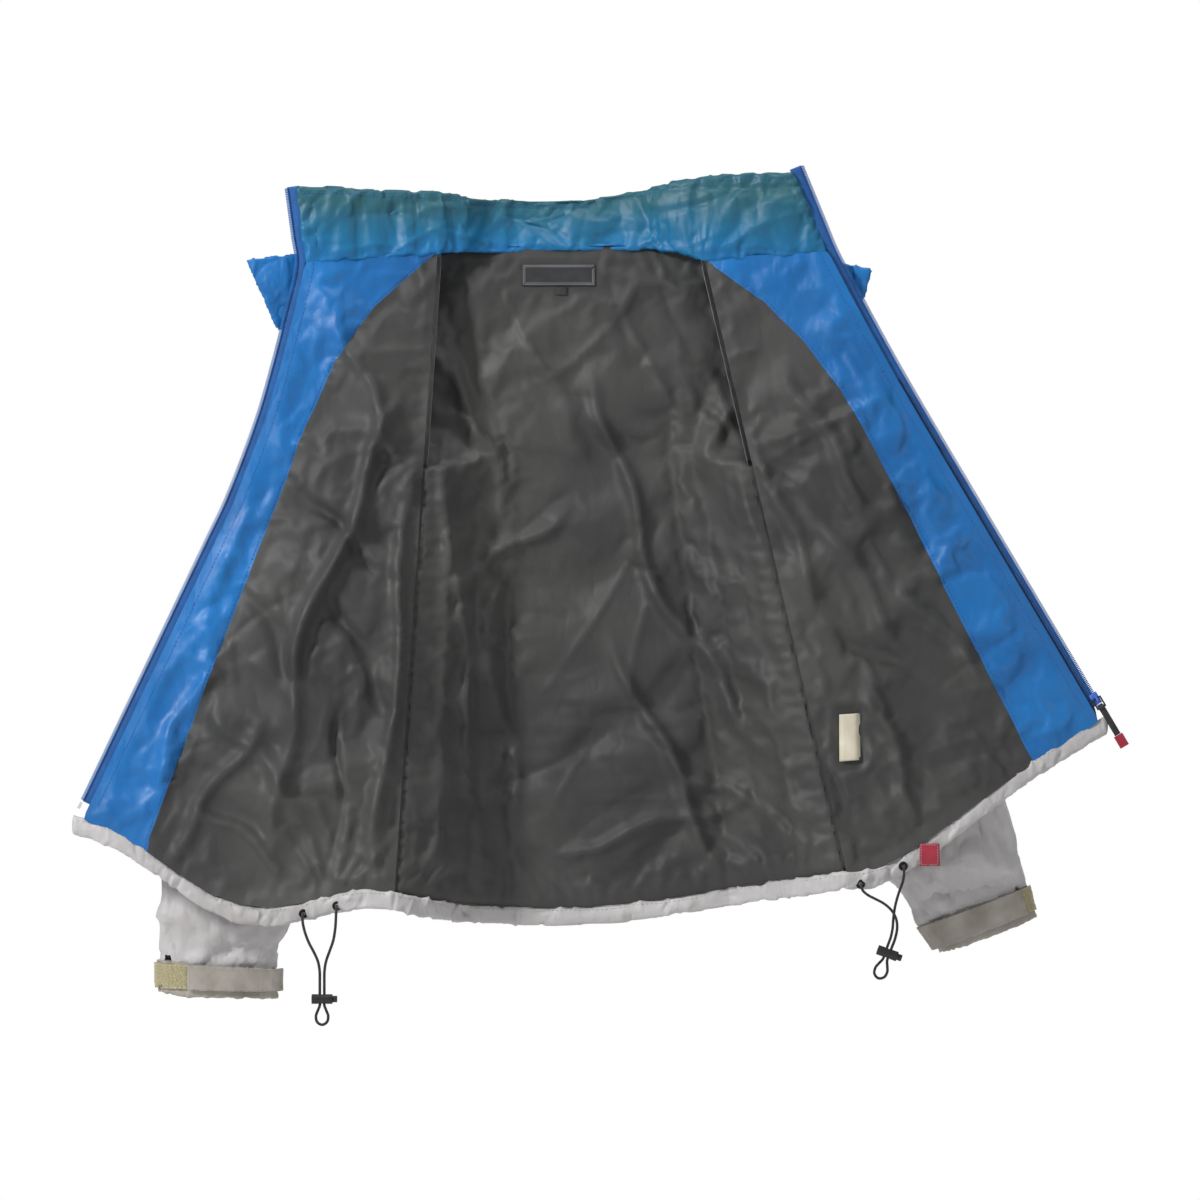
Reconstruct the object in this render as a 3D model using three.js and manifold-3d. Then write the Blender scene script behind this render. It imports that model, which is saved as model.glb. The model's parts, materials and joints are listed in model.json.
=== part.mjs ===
/**
 * A ski jacket that hangs unzipped, with both fronts spread wide open.
 *
 * Millimetres. X runs across the jacket, Y from its open front to its back, Z up.
 * The origin is at the centre of the back neck, where the jacket hangs.
 * Left and right are as seen from the open front.
 */
import * as THREE from 'three';
import { mergeVertices } from 'three/addons/utils/BufferGeometryUtils.js';
import Module from 'manifold-3d';

const wasm = await Module();
wasm.setup();

// ---------------------------------------------------------------- driving dimensions

const GAP = 0.5; // clearance between two pieces that touch
const SEAM_GAP = 1.2; // clearance along a curved seam
const HEM_GAP = 2.4; // clearance between a panel and its hem band

// Cloth layers, from the inside of the jacket out
const LINING = 0.8;
const INSULATION = 8;
const SHELL = 1;
const COLLAR_THICKNESS = 9;
const HEM_THICKNESS = 13;

const BODY_LENGTH = 681; // from the neck end of the fold lines down to the hem seam
const HEM_HEIGHT = 22;
const CARE_LABEL_DROP = 0.716; // part of the body length above the care label
const FOLD_FORWARD = 88; // how far the fold lines come forward at the hem
const FOLD_FORWARD_TOP = 30; // and at the neck
const BACK_DEPTH = 3; // inner face of the back at the neck
const BACK_DROP = 10; // how much further back it hangs at the hem
const EDGE_FORWARD_TOP = 45; // how far forward the zip edges hang at the neck
const EDGE_FORWARD_HEM = 60; // and at the hem
const BILLOW = 8; // swell of each front between its fold and its zip
const SHOULDER_DEPTH = 8; // inner face of the back at the shoulder tips
const NECK_RISE = 56; // height of the neck above the shoulder tips
const ARMHOLE_END = 0.34; // part of the body length above the armpit
const BACK_EDGE = 0.26; // share of the back's width, at each side, over which it comes forward
const BACK_SAG = 32; // how far the middle of the back's hem hangs below its ends
const ARMPIT_INSET = 5; // how far the armhole edge passes inside the fold line

const ZIP_WIDTH = 16; // from the sewn edge of the tape to the outside of the teeth
const ZIP_DEPTH = 4.5; // centre of the teeth behind the inner face of the front
const TAPE_THICKNESS = 1;
const TOOTH_RADIUS = 1.6;
const TEETH_END = 0.98; // share of the front's length where the teeth stop

const SLEEVE_WALL = 7;
const SLEEVE_DEPTH = [30, 38, 20]; // half depth at the shoulder, elbow and cuff
const CUFF_WALL = 5;
const SLEEVE_Y = 11; // middle of the sleeves
const TAB_THICKNESS = 2.4;
const PATCH_THICKNESS = 1.2;

const CORD_DIAMETER = 3;
const STRAND_SPACING = 4.8; // between the two strands where they pass the lock
const LOCK_LENGTH = 22;
const LOCK_RADIUS = 5.2;
const BUTTON_RADIUS = 3.5;
const BUTTON_TRAVEL = 3.5;
const EYELET_RADIUS = 5;
const EYELET_THICKNESS = 2.2;
const EYELET_DROP = 0.64; // part of the hem's height above an eyelet's centre

const HOOD_LENGTH = 330;
const HOOD_WIDTH = 320;
const HOOD_BULGE = 30;
const HOOD_WALL = 3;
const HOOD_FRONT = 22; // front face of the hood lining, behind the back
const HOOD_DROP = 26; // how far the hood's seam lies below the neck's highest point
const HOOD_CROWN = 26; // how much shorter the hood is at its sides

/**
 * Each front with its fold line, the outline of its zip and the sag of its hem. The fold line of
 * the right one ends higher by footRise, and its hem sags most at the share sagPeak of its width.
 */
const LEFT = {
  outward: -1,
  foldTop: [-133, 32],
  foldFoot: -176,
  footRise: 0,
  collarFold: 103,
  zipCollar: [-297, 105],
  zipTop: [-286, 23],
  zipControl: [-322, -146],
  zipKnee: [-362, -232],
  zipFoot: [-521, -567],
  hemSag: 50,
  sagPeak: 0.5,
  facing: (t) => 0.81 - 0.76 * Math.exp(-t / 0.095),
  shoulderTip: [-232, -20],
  elbow: [[-456, -403], [-215, -503]],
  wrist: [[-442, -731], [-307, -738]],
  cuffEnd: [[-441, -765], [-307, -768]],
  tabAngles: [3.26, 5.16],
  patchAngles: [5.0, 6.2],
  flap: [[-340, 28], [-222, 42], [-222, -50], [-306, -50]],
  eyelets: [-274, -238],
  lock: { centre: [-253, -98, -765], tilt: 0 },
};
const RIGHT = {
  outward: 1,
  foldTop: [157, 25],
  foldFoot: 305,
  footRise: 31,
  collarFold: 119,
  zipCollar: [262, 130],
  zipTop: [300, 38],
  zipControl: [356, -70],
  zipKnee: [400, -144],
  zipFoot: [587, -461],
  hemSag: 19,
  sagPeak: 0.22,
  facing: (t) => 0.7 + 0.05 * t - 0.68 * Math.exp(-t / 0.1),
  shoulderTip: [265, -16],
  elbow: [[459, -352], [189, -448]],
  wrist: [[510, -647], [390, -692]],
  cuffEnd: [[518, -680], [411, -722]],
  tabAngles: [3.26, 5.6],
  patchAngles: [5.44, 6.2],
  flap: [[337, 18], [232, 40], [232, -45], [330, -14]],
  eyelets: [321, 367],
  lock: { centre: [349, -99, -716], tilt: 0.35 },
};

/** Route of each drawcord, from one eyelet through its lock and loop to the other eyelet. */
const DRAWCORDS = {
  left: [
    [-274, -83.3, -675.4], [-274, -90.5, -675.4], [-274, -95.8, -677.6], [-273.7, -98, -682.7],
    [-271.8, -98, -692], [-267.5, -98, -704], [-261.8, -98, -715], [-257.4, -98, -725],
    [-255.6, -98, -735], [-255.4, -98, -748], [-255.4, -98, -760], [-255.4, -98, -771.5],
    [-257.4, -98, -777], [-259.5, -98, -783], [-258.3, -98, -789.3], [-253, -98, -792.4],
    [-247.7, -98, -789.3], [-246.5, -98, -783], [-248.6, -98, -777], [-250.6, -98, -771.5],
    [-250.6, -98, -760], [-250.6, -98, -748], [-250.4, -98, -735], [-248.8, -98, -725],
    [-245, -98, -714], [-241.2, -98, -703], [-239, -98, -690], [-238.2, -98, -677],
    [-238, -95.8, -669.6], [-238, -91.5, -666.8], [-238, -86.4, -666.8],
  ],
  right: [
    [321, -89.9, -643.2], [321, -92.5, -643.2], [321.2, -97.2, -645.2], [322.8, -99, -649.3],
    [328, -99, -654], [336, -99.6, -658.2], [345, -101, -663], [353, -101.8, -670],
    [358, -101.6, -679], [359.3, -100.4, -689], [357.1, -99, -700.9], [354.3, -99, -708.4],
    [351.3, -99, -716.8], [348.7, -99, -723.9], [348.9, -99, -729.8], [348.8, -99, -736.1],
    [345.5, -99, -741.6], [339.3, -99, -742.7], [335.2, -99, -737.9], [336.2, -99, -731.5],
    [340.2, -99, -726.6], [344.2, -99, -722.2], [346.7, -99, -715.2], [349.8, -99, -706.7],
    [352.6, -98.6, -699.2], [354.6, -97.6, -690], [355.6, -97.4, -678], [357.6, -97.6, -665],
    [361.5, -98.4, -651], [365.4, -99, -640], [366.8, -98, -632], [367, -94.5, -625.8],
    [367, -90, -624.4], [367, -85.1, -624.4],
  ],
};

const COLOURS = {
  shell: [0xa9a5a6, 0.7, 0],
  blue: [0x1e7cd0, 0.45, 0],
  tape: [0x1455b4, 0.6, 0],
  collar: [0x3f7f92, 0.5, 0],
  lining: [0x4c4d4b, 0.55, 0],
  padding: [0xe8e6df, 0.95, 0],
  taupe: [0x96897c, 0.8, 0],
  khaki: [0xb2a86e, 0.95, 0],
  black: [0x19191b, 0.6, 0],
  red: [0xa01c2e, 0.6, 0],
  ivory: [0xd6cdb6, 0.8, 0],
  periwinkle: [0x4e78d8, 0.35, 0],
};

// ---------------------------------------------------------------- helpers

const { lerp } = THREE.MathUtils;
const vec = (x, y, z) => new THREE.Vector3(x, y, z);

/** Smooth step from 0 to 1 as x goes from 0 to width. */
function ease(x, width) {
  return THREE.MathUtils.smoothstep(x, 0, width);
}

/** Even parameter values from start to end. */
function steps(count, start = 0, end = 1) {
  return Array.from({ length: count + 1 }, (_, i) => lerp(start, end, i / count));
}

/** Geometry from points and faces, turned so that its faces point out. */
function solid(points, faces) {
  const geometry = new THREE.BufferGeometry();
  let volume = 0;
  for (const [a, b, c] of faces) {
    volume += points[a].dot(points[b].clone().cross(points[c]));
  }
  const index = faces.flatMap(([a, b, c]) => (volume > 0 ? [a, b, c] : [a, c, b]));
  geometry.setAttribute(
    'position',
    new THREE.Float32BufferAttribute(points.flatMap((point) => point.toArray()), 3),
  );
  geometry.setIndex(index);
  geometry.computeVertexNormals();
  return geometry;
}

/** Closed solid between two skins, each a function of an across value and a down value. */
function skins(near, far, across, down) {
  const points = [];
  const faces = [];
  const layer = across.length * down.length;
  for (const skin of [near, far]) {
    for (const t of down) {
      for (const s of across) {
        points.push(skin(s, t));
      }
    }
  }
  const at = (column, row, side) => side * layer + row * across.length + column;
  const quad = (a, b, c, d) => faces.push([a, b, c], [a, c, d]);
  const lastColumn = across.length - 1;
  const lastRow = down.length - 1;
  for (let row = 0; row < lastRow; row += 1) {
    for (let column = 0; column < lastColumn; column += 1) {
      const [a, b, c, d] = [[0, 0], [0, 1], [1, 1], [1, 0]].map(([i, j]) => [column + i, row + j]);
      quad(at(...a, 0), at(...b, 0), at(...c, 0), at(...d, 0));
      quad(at(...a, 1), at(...d, 1), at(...c, 1), at(...b, 1));
    }
    quad(at(0, row, 0), at(0, row, 1), at(0, row + 1, 1), at(0, row + 1, 0));
    quad(at(lastColumn, row, 0), at(lastColumn, row + 1, 0), at(lastColumn, row + 1, 1),
      at(lastColumn, row, 1));
  }
  for (let column = 0; column < lastColumn; column += 1) {
    quad(at(column, 0, 0), at(column + 1, 0, 0), at(column + 1, 0, 1), at(column, 0, 1));
    quad(at(column, lastRow, 0), at(column, lastRow, 1), at(column + 1, lastRow, 1),
      at(column + 1, lastRow, 0));
  }
  return solid(points, faces);
}

/** Solid made by moving closed rings of points along; a hollow one has an inner ring as well. */
function loft(rings, innerRings = null) {
  const points = [...rings.flat(), ...(innerRings ? innerRings.flat() : [])];
  const faces = [];
  const size = rings[0].length;
  const inner = rings.length * size;
  const quad = (a, b, c, d) => faces.push([a, b, c], [a, c, d]);
  const last = (rings.length - 1) * size;
  for (let i = 0; i < size; i += 1) {
    const j = (i + 1) % size;
    for (let row = 0; row < last; row += size) {
      quad(row + i, row + j, row + size + j, row + size + i);
      if (innerRings) {
        quad(inner + row + i, inner + row + size + i, inner + row + size + j, inner + row + j);
      }
    }
    if (innerRings) {
      quad(i, inner + i, inner + j, j);
      quad(last + i, last + j, inner + last + j, inner + last + i);
    } else if (i > 0 && i < size - 1) {
      faces.push([0, i + 1, i], [last, last + i, last + i + 1]);
    }
  }
  return solid(points, faces);
}

/** Box from its two corners. */
function box(low, high) {
  const size = high.map((value, axis) => value - low[axis]);
  const geometry = new THREE.BoxGeometry(...size);
  geometry.translate(...low.map((value, axis) => value + size[axis] / 2));
  return geometry;
}

/** Cylinder along the X axis between two stations. */
function rod(radius, start, end, sides = 20) {
  const geometry = new THREE.CylinderGeometry(radius, radius, end - start, sides);
  geometry.rotateZ(Math.PI / 2);
  geometry.translate((start + end) / 2, 0, 0);
  return geometry;
}

function toManifold(geometry) {
  const plain = geometry.clone();
  plain.deleteAttribute('normal');
  plain.deleteAttribute('uv');
  const merged = mergeVertices(plain);
  return new wasm.Manifold(new wasm.Mesh({
    numProp: 3,
    vertProperties: new Float32Array(merged.attributes.position.array),
    triVerts: new Uint32Array(merged.index.array),
  }));
}

/** The first geometry with some geometries added to it and others cut away. */
function carve(base, added, removed) {
  let shape = toManifold(base);
  for (const piece of added) {
    shape = shape.add(toManifold(piece));
  }
  for (const piece of removed) {
    shape = shape.subtract(toManifold(piece));
  }
  const mesh = shape.getMesh();
  const geometry = new THREE.BufferGeometry();
  geometry.setAttribute('position', new THREE.BufferAttribute(mesh.vertProperties, 3));
  geometry.setIndex(new THREE.BufferAttribute(mesh.triVerts, 1));
  geometry.computeVertexNormals();
  return geometry;
}

/** Moves a geometry from its own axes to a place given by an origin and three unit axes. */
function place(geometry, origin, xAxis, yAxis, zAxis) {
  const matrix = new THREE.Matrix4().makeBasis(xAxis, yAxis, zAxis).setPosition(origin);
  geometry.applyMatrix4(matrix);
  return geometry;
}

const jacket = new THREE.Group();
jacket.name = 'ski_jacket';

function add(name, geometry, [color, roughness, metalness]) {
  const material = new THREE.MeshStandardMaterial({ color, roughness, metalness });
  const mesh = new THREE.Mesh(geometry, material);
  mesh.name = name;
  jacket.add(mesh);
}

// ---------------------------------------------------------------- surfaces of the body

/** Length of a side's fold line, from the neck to the hem seam. */
function foldLength(side) {
  return BODY_LENGTH - side.footRise;
}

/** Point of a side's fold line: 0 at the neck, 1 at the hem seam, below 0 in the collar. */
function fold(side, t) {
  const [x, z] = side.foldTop;
  return vec(
    lerp(x, side.foldFoot, t),
    lerp(-FOLD_FORWARD_TOP, -FOLD_FORWARD, t),
    z - t * foldLength(side),
  );
}

/** Point of a side's fold line at a given height. */
function foldAtHeight(side, z) {
  return fold(side, (side.foldTop[1] - z) / foldLength(side));
}

/** Part of the zip above its knee, where it starts to run straight. */
function kneeShare(side) {
  return (side.zipTop[1] - side.zipKnee[1]) / (side.zipTop[1] - side.zipFoot[1]);
}

/** Outer line of a side's zip: -1 at the collar's top, 0 at its base, 1 at the hem. */
function zipLine(side, t) {
  const knee = kneeShare(side);
  const y = lerp(-EDGE_FORWARD_TOP, -EDGE_FORWARD_HEM, Math.max(t, 0));
  let x;
  let z;
  if (t < 0) {
    [x, z] = [0, 1].map((axis) => lerp(side.zipTop[axis], side.zipCollar[axis], -t));
  } else if (t < knee) {
    const u = t / knee;
    [x, z] = [0, 1].map((axis) => (1 - u) ** 2 * side.zipTop[axis]
      + 2 * u * (1 - u) * side.zipControl[axis] + u ** 2 * side.zipKnee[axis]);
  } else {
    const u = (t - knee) / (1 - knee);
    [x, z] = [0, 1].map((axis) => lerp(side.zipKnee[axis], side.zipFoot[axis], u));
  }
  return vec(x, y, z);
}

/** Unit vector from a side's zip towards its front, square to the zip. */
function inward(side, t) {
  const reach = 0.03;
  const up = zipLine(side, Math.max(t - reach, -1)).sub(zipLine(side, Math.min(t + reach, 1)));
  return vec(-side.outward * up.z, 0, side.outward * up.x).normalize();
}

/** Edge of a side's front, where the zip tape starts. */
function frontEdge(side, t) {
  return zipLine(side, t).addScaledVector(inward(side, t), ZIP_WIDTH);
}

/** Inner face of a side's front: s is 0 at the fold and 1 at the zip tape. */
function front(side, s, t) {
  const point = fold(side, t).lerp(frontEdge(side, t), s);
  const across = THREE.MathUtils.clamp(s, 0, 1);
  const swell = Math.sin(Math.PI * across);
  const sag = Math.sin(Math.PI * across ** (Math.log(0.5) / Math.log(side.sagPeak)));
  point.z -= side.hemSag * sag ** 2 * t ** 2;
  point.y -= BILLOW * swell * Math.sin(Math.PI * THREE.MathUtils.clamp(t, 0, 1));
  return point;
}

/** Bottom edge of a side's front at a place across the jacket. */
function hemPoint(side, x) {
  return front(side, (x - fold(side, 1).x) / (frontEdge(side, 1).x - fold(side, 1).x), 1);
}

/** Height of the bottom edge of a side's front at a place across the jacket. */
function hemLine(side, x) {
  return hemPoint(side, x).z;
}

/** Armpit end of a side's armhole, on the fold line. */
function armpit(side) {
  return fold(side, ARMHOLE_END);
}

/** Outer edge of the back on one side: the armhole from the shoulder tip, then the fold. */
function backEdge(side, t) {
  if (t >= ARMHOLE_END) {
    return fold(side, t);
  }
  const u = t / ARMHOLE_END;
  const tip = vec(side.shoulderTip[0], 0, side.shoulderTip[1]);
  const point = tip.lerp(armpit(side), u);
  point.x -= side.outward * ARMPIT_INSET * u;
  point.y = lerp(SHOULDER_DEPTH, armpit(side).y, u ** 6);
  return point;
}

/** How much of the back's depth is reached across its width, from fold to fold. */
function hollow(s) {
  return ease(s, BACK_EDGE) * ease(1 - s, BACK_EDGE);
}

/** Inner face of the back: s is 0 at the left edge and 1 at the right one. */
function back(s, t) {
  const left = backEdge(LEFT, t);
  const right = backEdge(RIGHT, t);
  const point = left.clone().lerp(right, s);
  const middle = BACK_DEPTH + BACK_DROP * THREE.MathUtils.smoothstep(t, 0.1, 1);
  point.y = lerp(point.y, middle, hollow(s));
  point.z += NECK_RISE * Math.min(1, 1.25 * hollow(s)) * (1 - t) ** 3;
  point.z -= BACK_SAG * Math.sin(Math.PI * s ** 0.8) * t ** 2;
  return point;
}

/** Shifts a surface back by a depth. */
function behind(surface, depth) {
  return (s, t) => {
    const point = surface(s, t);
    point.y += depth;
    return point;
  };
}

/** Layer of cloth between two depths behind an inner face. */
function layer(surface, near, far, across, down) {
  return skins(behind(surface, near), behind(surface, far), across, down);
}

const LINING_LAYER = [0, LINING];
const PADDING_LAYER = [LINING + 2 * GAP, LINING + 2 * GAP + INSULATION];
const SHELL_LAYER = [PADDING_LAYER[1] + GAP, PADDING_LAYER[1] + GAP + SHELL];
const BODY_THICKNESS = SHELL_LAYER[1];

// ---------------------------------------------------------------- back

const SEAM_SHARE = 0.003; // clearance at a fold or seam, as a share of the panel
const YOKE_END = 0.26; // part of the body length covered by the yoke
const backColumns = steps(12, SEAM_SHARE, 1 - SEAM_SHARE);
const yokeRows = [0, 0.09, 0.18, YOKE_END];
const seamRow = YOKE_END + 0.002;
const lowerRows = [seamRow, ARMHOLE_END - 0.015, ARMHOLE_END, 0.45, 0.58, 0.72, 0.86, 1];
const backRows = [...yokeRows, ...lowerRows.slice(1)];

add('back_lining', layer(back, ...LINING_LAYER, backColumns, backRows), COLOURS.lining);
add('back_insulation', layer(back, ...PADDING_LAYER, backColumns, backRows), COLOURS.padding);
add('back_yoke', layer(back, ...SHELL_LAYER, backColumns, yokeRows), COLOURS.blue);
add('back_shell', layer(back, ...SHELL_LAYER, backColumns, lowerRows), COLOURS.shell);

/** Collar above the back neck, from its base at 0 to its top edge at 1. */
function backCollar(s, u) {
  const base = fold(LEFT, 0).lerp(fold(RIGHT, 0), s);
  const neck = lerp(LEFT.shoulderTip[1], RIGHT.shoulderTip[1], s) + NECK_RISE;
  base.y = lerp(base.y, BACK_DEPTH, hollow(s));
  base.z = lerp(base.z, neck, Math.min(1, 1.7 * hollow(s))) + SEAM_GAP;
  const top = foldAtHeight(LEFT, LEFT.collarFold).lerp(foldAtHeight(RIGHT, RIGHT.collarFold), s);
  top.y = lerp(top.y, BACK_DEPTH + 12, hollow(s));
  top.z -= 14 * Math.sin(Math.PI * s);
  return base.lerp(top, u);
}
add('collar_back', layer(
  backCollar, 0, COLLAR_THICKNESS, steps(10, SEAM_SHARE, 1 - SEAM_SHARE), steps(3),
), COLOURS.collar);

/** Rounded band hanging under the bottom edge of a panel. */
function hem(surface, columns) {
  const near = (s, v) => {
    const point = surface(s, 1);
    point.z -= HEM_GAP + HEM_HEIGHT * v;
    return point;
  };
  const far = (s, v) => {
    const point = near(s, v);
    point.y += HEM_THICKNESS * (0.5 + 0.5 * Math.sin(Math.PI * v));
    return point;
  };
  return skins(near, far, columns, steps(3));
}
add('hem_back', hem(back, backColumns), COLOURS.shell);

// Neck label and size tab on the lining
const LABEL = { left: -42, right: 38, low: 2, high: 26, thickness: 1.4 };
const LABEL_BACK = BACK_DEPTH - GAP;
add('neck_label', box(
  [LABEL.left, LABEL_BACK - LABEL.thickness, LABEL.low],
  [LABEL.right, LABEL_BACK, LABEL.high],
), COLOURS.black);
add('size_tab', box(
  [-7.5, LABEL_BACK - LABEL.thickness, LABEL.low - GAP - 10],
  [7.5, LABEL_BACK, LABEL.low - GAP],
), COLOURS.black);

// ---------------------------------------------------------------- fronts

const FOLD_SHARE = 0.004; // clearance at the fold, as a share of the front's width

for (const [name, side] of [['left', LEFT], ['right', RIGHT]]) {
  const surface = (s, t) => front(side, s, t);
  const rows = [0, 0.07, 0.15, 0.25, kneeShare(side), 0.5, 0.66, 0.83, 1].sort((a, b) => a - b);
  const columns = steps(10, FOLD_SHARE, 1);

  /** Part of the front between two shares of its width, which change down its length. */
  const strip = (from, to) => (s, t) => surface(lerp(from(t), to(t), s), t);
  const facingEdge = (t) => side.facing(t);
  const liningEdge = (t) => side.facing(t) - FOLD_SHARE;
  const lining = strip(() => FOLD_SHARE, liningEdge);
  const facing = strip(facingEdge, () => 1);
  add(`front_lining_${name}`, layer(lining, ...LINING_LAYER, steps(8), rows), COLOURS.lining);
  add(`facing_${name}`, layer(facing, ...LINING_LAYER, steps(6), rows), COLOURS.blue);
  add(`front_insulation_${name}`, layer(surface, ...PADDING_LAYER, columns, rows), COLOURS.padding);
  add(`front_shell_${name}`, layer(surface, ...SHELL_LAYER, columns, rows), COLOURS.shell);

  // Collar piece above the front
  const collar = (s, u) => {
    const base = surface(s, 0);
    base.z += SEAM_GAP;
    const top = foldAtHeight(side, side.collarFold).lerp(frontEdge(side, -1), s);
    return base.lerp(top, u);
  };
  add(`collar_${name}`, layer(collar, 0, COLLAR_THICKNESS, steps(5, FOLD_SHARE, 1), steps(3)),
    COLOURS.collar);

  // Hem band, out to the corner of the zip
  const corner = 1 + ZIP_WIDTH / fold(side, 1).distanceTo(frontEdge(side, 1));
  add(`hem_${name}`, hem(surface, [...columns, corner]), COLOURS.shell);

  // Zip: a tape along the edge and a bead of teeth along the tape
  const zipRows = [-1, -0.67, -0.33, ...rows.slice(0, -1), TEETH_END];
  const tape = (across, t) => {
    const reach = lerp(ZIP_WIDTH - GAP, 2 * TOOTH_RADIUS + GAP, across);
    const point = zipLine(side, t).addScaledVector(inward(side, t), reach);
    point.y += ZIP_DEPTH - TAPE_THICKNESS / 2;
    return point;
  };
  add(`zip_tape_${name}`, layer(tape, 0, TAPE_THICKNESS, [0, 1], zipRows), COLOURS.tape);
  const toothRing = (t) => steps(5, 0, 5 / 6).map((turn) => {
    const angle = 2 * Math.PI * turn;
    const reach = TOOTH_RADIUS * (1 + Math.cos(angle));
    const point = zipLine(side, t).addScaledVector(inward(side, t), reach);
    point.y += ZIP_DEPTH + TOOTH_RADIUS * Math.sin(angle);
    return point;
  });
  add(`zip_teeth_${name}`, loft(zipRows.map(toothRing)), COLOURS.tape);

  // Corner of the hood's neck flap, which shows beside the collar
  const flap = (s, u) => {
    const [outerTop, innerTop, innerLow, outerLow] = side.flap.map(([x, z]) => vec(x, 0, z));
    const point = innerTop.lerp(outerTop, s).lerp(innerLow.lerp(outerLow, s), u);
    const slope = (EDGE_FORWARD_TOP - FOLD_FORWARD_TOP) / Math.abs(side.zipTop[0] - side.foldTop[0]);
    point.y = BODY_THICKNESS + 2 - FOLD_FORWARD_TOP - slope * Math.abs(point.x - side.foldTop[0]);
    return point;
  };
  add(`hood_flap_${name}`, layer(flap, 0, 3.5, steps(3), steps(3)), COLOURS.blue);
}

/** The across and down values of the point of a side's front at a place seen from the front. */
function frontShare(side, x, z) {
  let s = 0.5;
  let t = 0.5;
  for (let round = 0; round < 30; round += 1) {
    const point = front(side, s, t);
    s += (x - point.x) / (frontEdge(side, t).x - fold(side, t).x);
    t += (point.z - z) / BODY_LENGTH;
  }
  return [s, t];
}

/** Flat label lying on a front: its top corner, its size and how far it stands off the cloth. */
function patchOn(side, [x, z], [width, height], standOff, thickness) {
  const near = (s, v) => {
    const point = vec(x + width * s, 0, z - height * v);
    point.y = front(side, ...frontShare(side, point.x, point.z)).y - standOff - thickness;
    return point;
  };
  return layer(near, 0, thickness, steps(2), steps(2));
}
const careTop = RIGHT.foldTop[1] - CARE_LABEL_DROP * BODY_LENGTH;
add('care_label', patchOn(RIGHT, [299, careTop], [21, 50], 2 * GAP, 2), COLOURS.ivory);
add('hem_tab', patchOn(RIGHT, [384, hemLine(RIGHT, 395) - 10], [22, 25], 4 * GAP, 1.6), COLOURS.red);

// ---------------------------------------------------------------- zip fittings

/** Axes of the straight run of a side's zip: X towards the front, Z up the run, Y square to both. */
function zipAxes(side) {
  const z = zipLine(side, kneeShare(side)).sub(zipLine(side, 1)).normalize();
  const inwards = inward(side, 0.8);
  const x = inwards.clone().addScaledVector(z, -inwards.dot(z)).normalize();
  return { x, y: z.clone().cross(x), z };
}

/** Centre of a side's teeth, at a distance up from the foot of the zip. */
function toothCentre(side, distance) {
  const centre = zipLine(side, 1).addScaledVector(inward(side, 0.8), TOOTH_RADIUS);
  centre.y += ZIP_DEPTH;
  return centre.addScaledVector(zipAxes(side).z, distance);
}

/** Places a fitting made in zip axes. */
function onZip(side, geometry, distance) {
  const { x, y, z } = zipAxes(side);
  return place(geometry, toothCentre(side, distance), x, y, z);
}

const zipFootGap = zipLine(RIGHT, TEETH_END).distanceTo(zipLine(RIGHT, 1));
const BOX_LENGTH = 7;
const SLIDER = {
  length: 13, tapeSide: 5.5, openSide: 3.6, halfDepth: 3.8, toothRoom: 2.3, tapeRoom: 1.0,
};
const BAIL = { post: 1.6, span: 6, width: 2.2, room: 3.4, bar: 1.4 };
const RING = { bar: 1.6, inner: 7.6, length: 12 };
const PULLER = { width: 6.8, eye: 1.5, head: 2.6, length: 34, thickness: 2 };
const TIP = { width: 10, thickness: 4.4, length: 14 };
const SLIDER_REST = zipFootGap + GAP + SLIDER.length / 2;
const ringPlane = SLIDER.halfDepth + BAIL.room / 2;

function sliderGeometry() {
  const outline = new THREE.Shape([
    [-SLIDER.openSide, -SLIDER.halfDepth], [SLIDER.tapeSide, -SLIDER.halfDepth],
    [SLIDER.tapeSide, -SLIDER.tapeRoom], [SLIDER.toothRoom + 0.4, -SLIDER.tapeRoom],
    [SLIDER.toothRoom, -SLIDER.toothRoom], [-SLIDER.toothRoom, -SLIDER.toothRoom],
    [-SLIDER.toothRoom, SLIDER.toothRoom], [SLIDER.toothRoom, SLIDER.toothRoom],
    [SLIDER.toothRoom + 0.4, SLIDER.tapeRoom], [SLIDER.tapeSide, SLIDER.tapeRoom],
    [SLIDER.tapeSide, SLIDER.halfDepth], [-SLIDER.openSide, SLIDER.halfDepth],
  ].map(([x, y]) => new THREE.Vector2(x, y)));
  const body = new THREE.ExtrudeGeometry(outline, { depth: SLIDER.length, bevelEnabled: false });
  body.translate(0, 0, -SLIDER.length / 2);
  const half = BAIL.width / 2;
  const low = SLIDER.halfDepth - 0.4;
  const roof = SLIDER.halfDepth + BAIL.room;
  const outer = BAIL.span / 2;
  const posts = [-1, 1].map((end) => {
    const [a, b] = [end * outer, end * (outer - BAIL.post)].sort((p, q) => p - q);
    return box([-half, low, a], [half, roof + 0.1, b]);
  });
  const bar = box([-half, roof, -outer], [half, roof + BAIL.bar, outer]);
  return carve(body, [...posts, bar], []);
}

/** Rectangular ring whose top bar runs through the bail. */
function ringGeometry() {
  const half = RING.inner / 2;
  const side = half + RING.bar;
  const bar = RING.bar / 2;
  const shape = new THREE.Shape();
  shape.moveTo(-side, bar).lineTo(side, bar).lineTo(side, -RING.length).lineTo(-side, -RING.length);
  const hole = new THREE.Path();
  hole.moveTo(-half, -bar).lineTo(-half, RING.bar - RING.length);
  hole.lineTo(half, RING.bar - RING.length).lineTo(half, -bar);
  shape.holes.push(hole);
  const geometry = new THREE.ExtrudeGeometry(shape, { depth: RING.bar, bevelEnabled: false });
  geometry.rotateX(Math.PI / 2);
  return geometry.translate(0, ringPlane + bar, 0);
}

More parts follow.
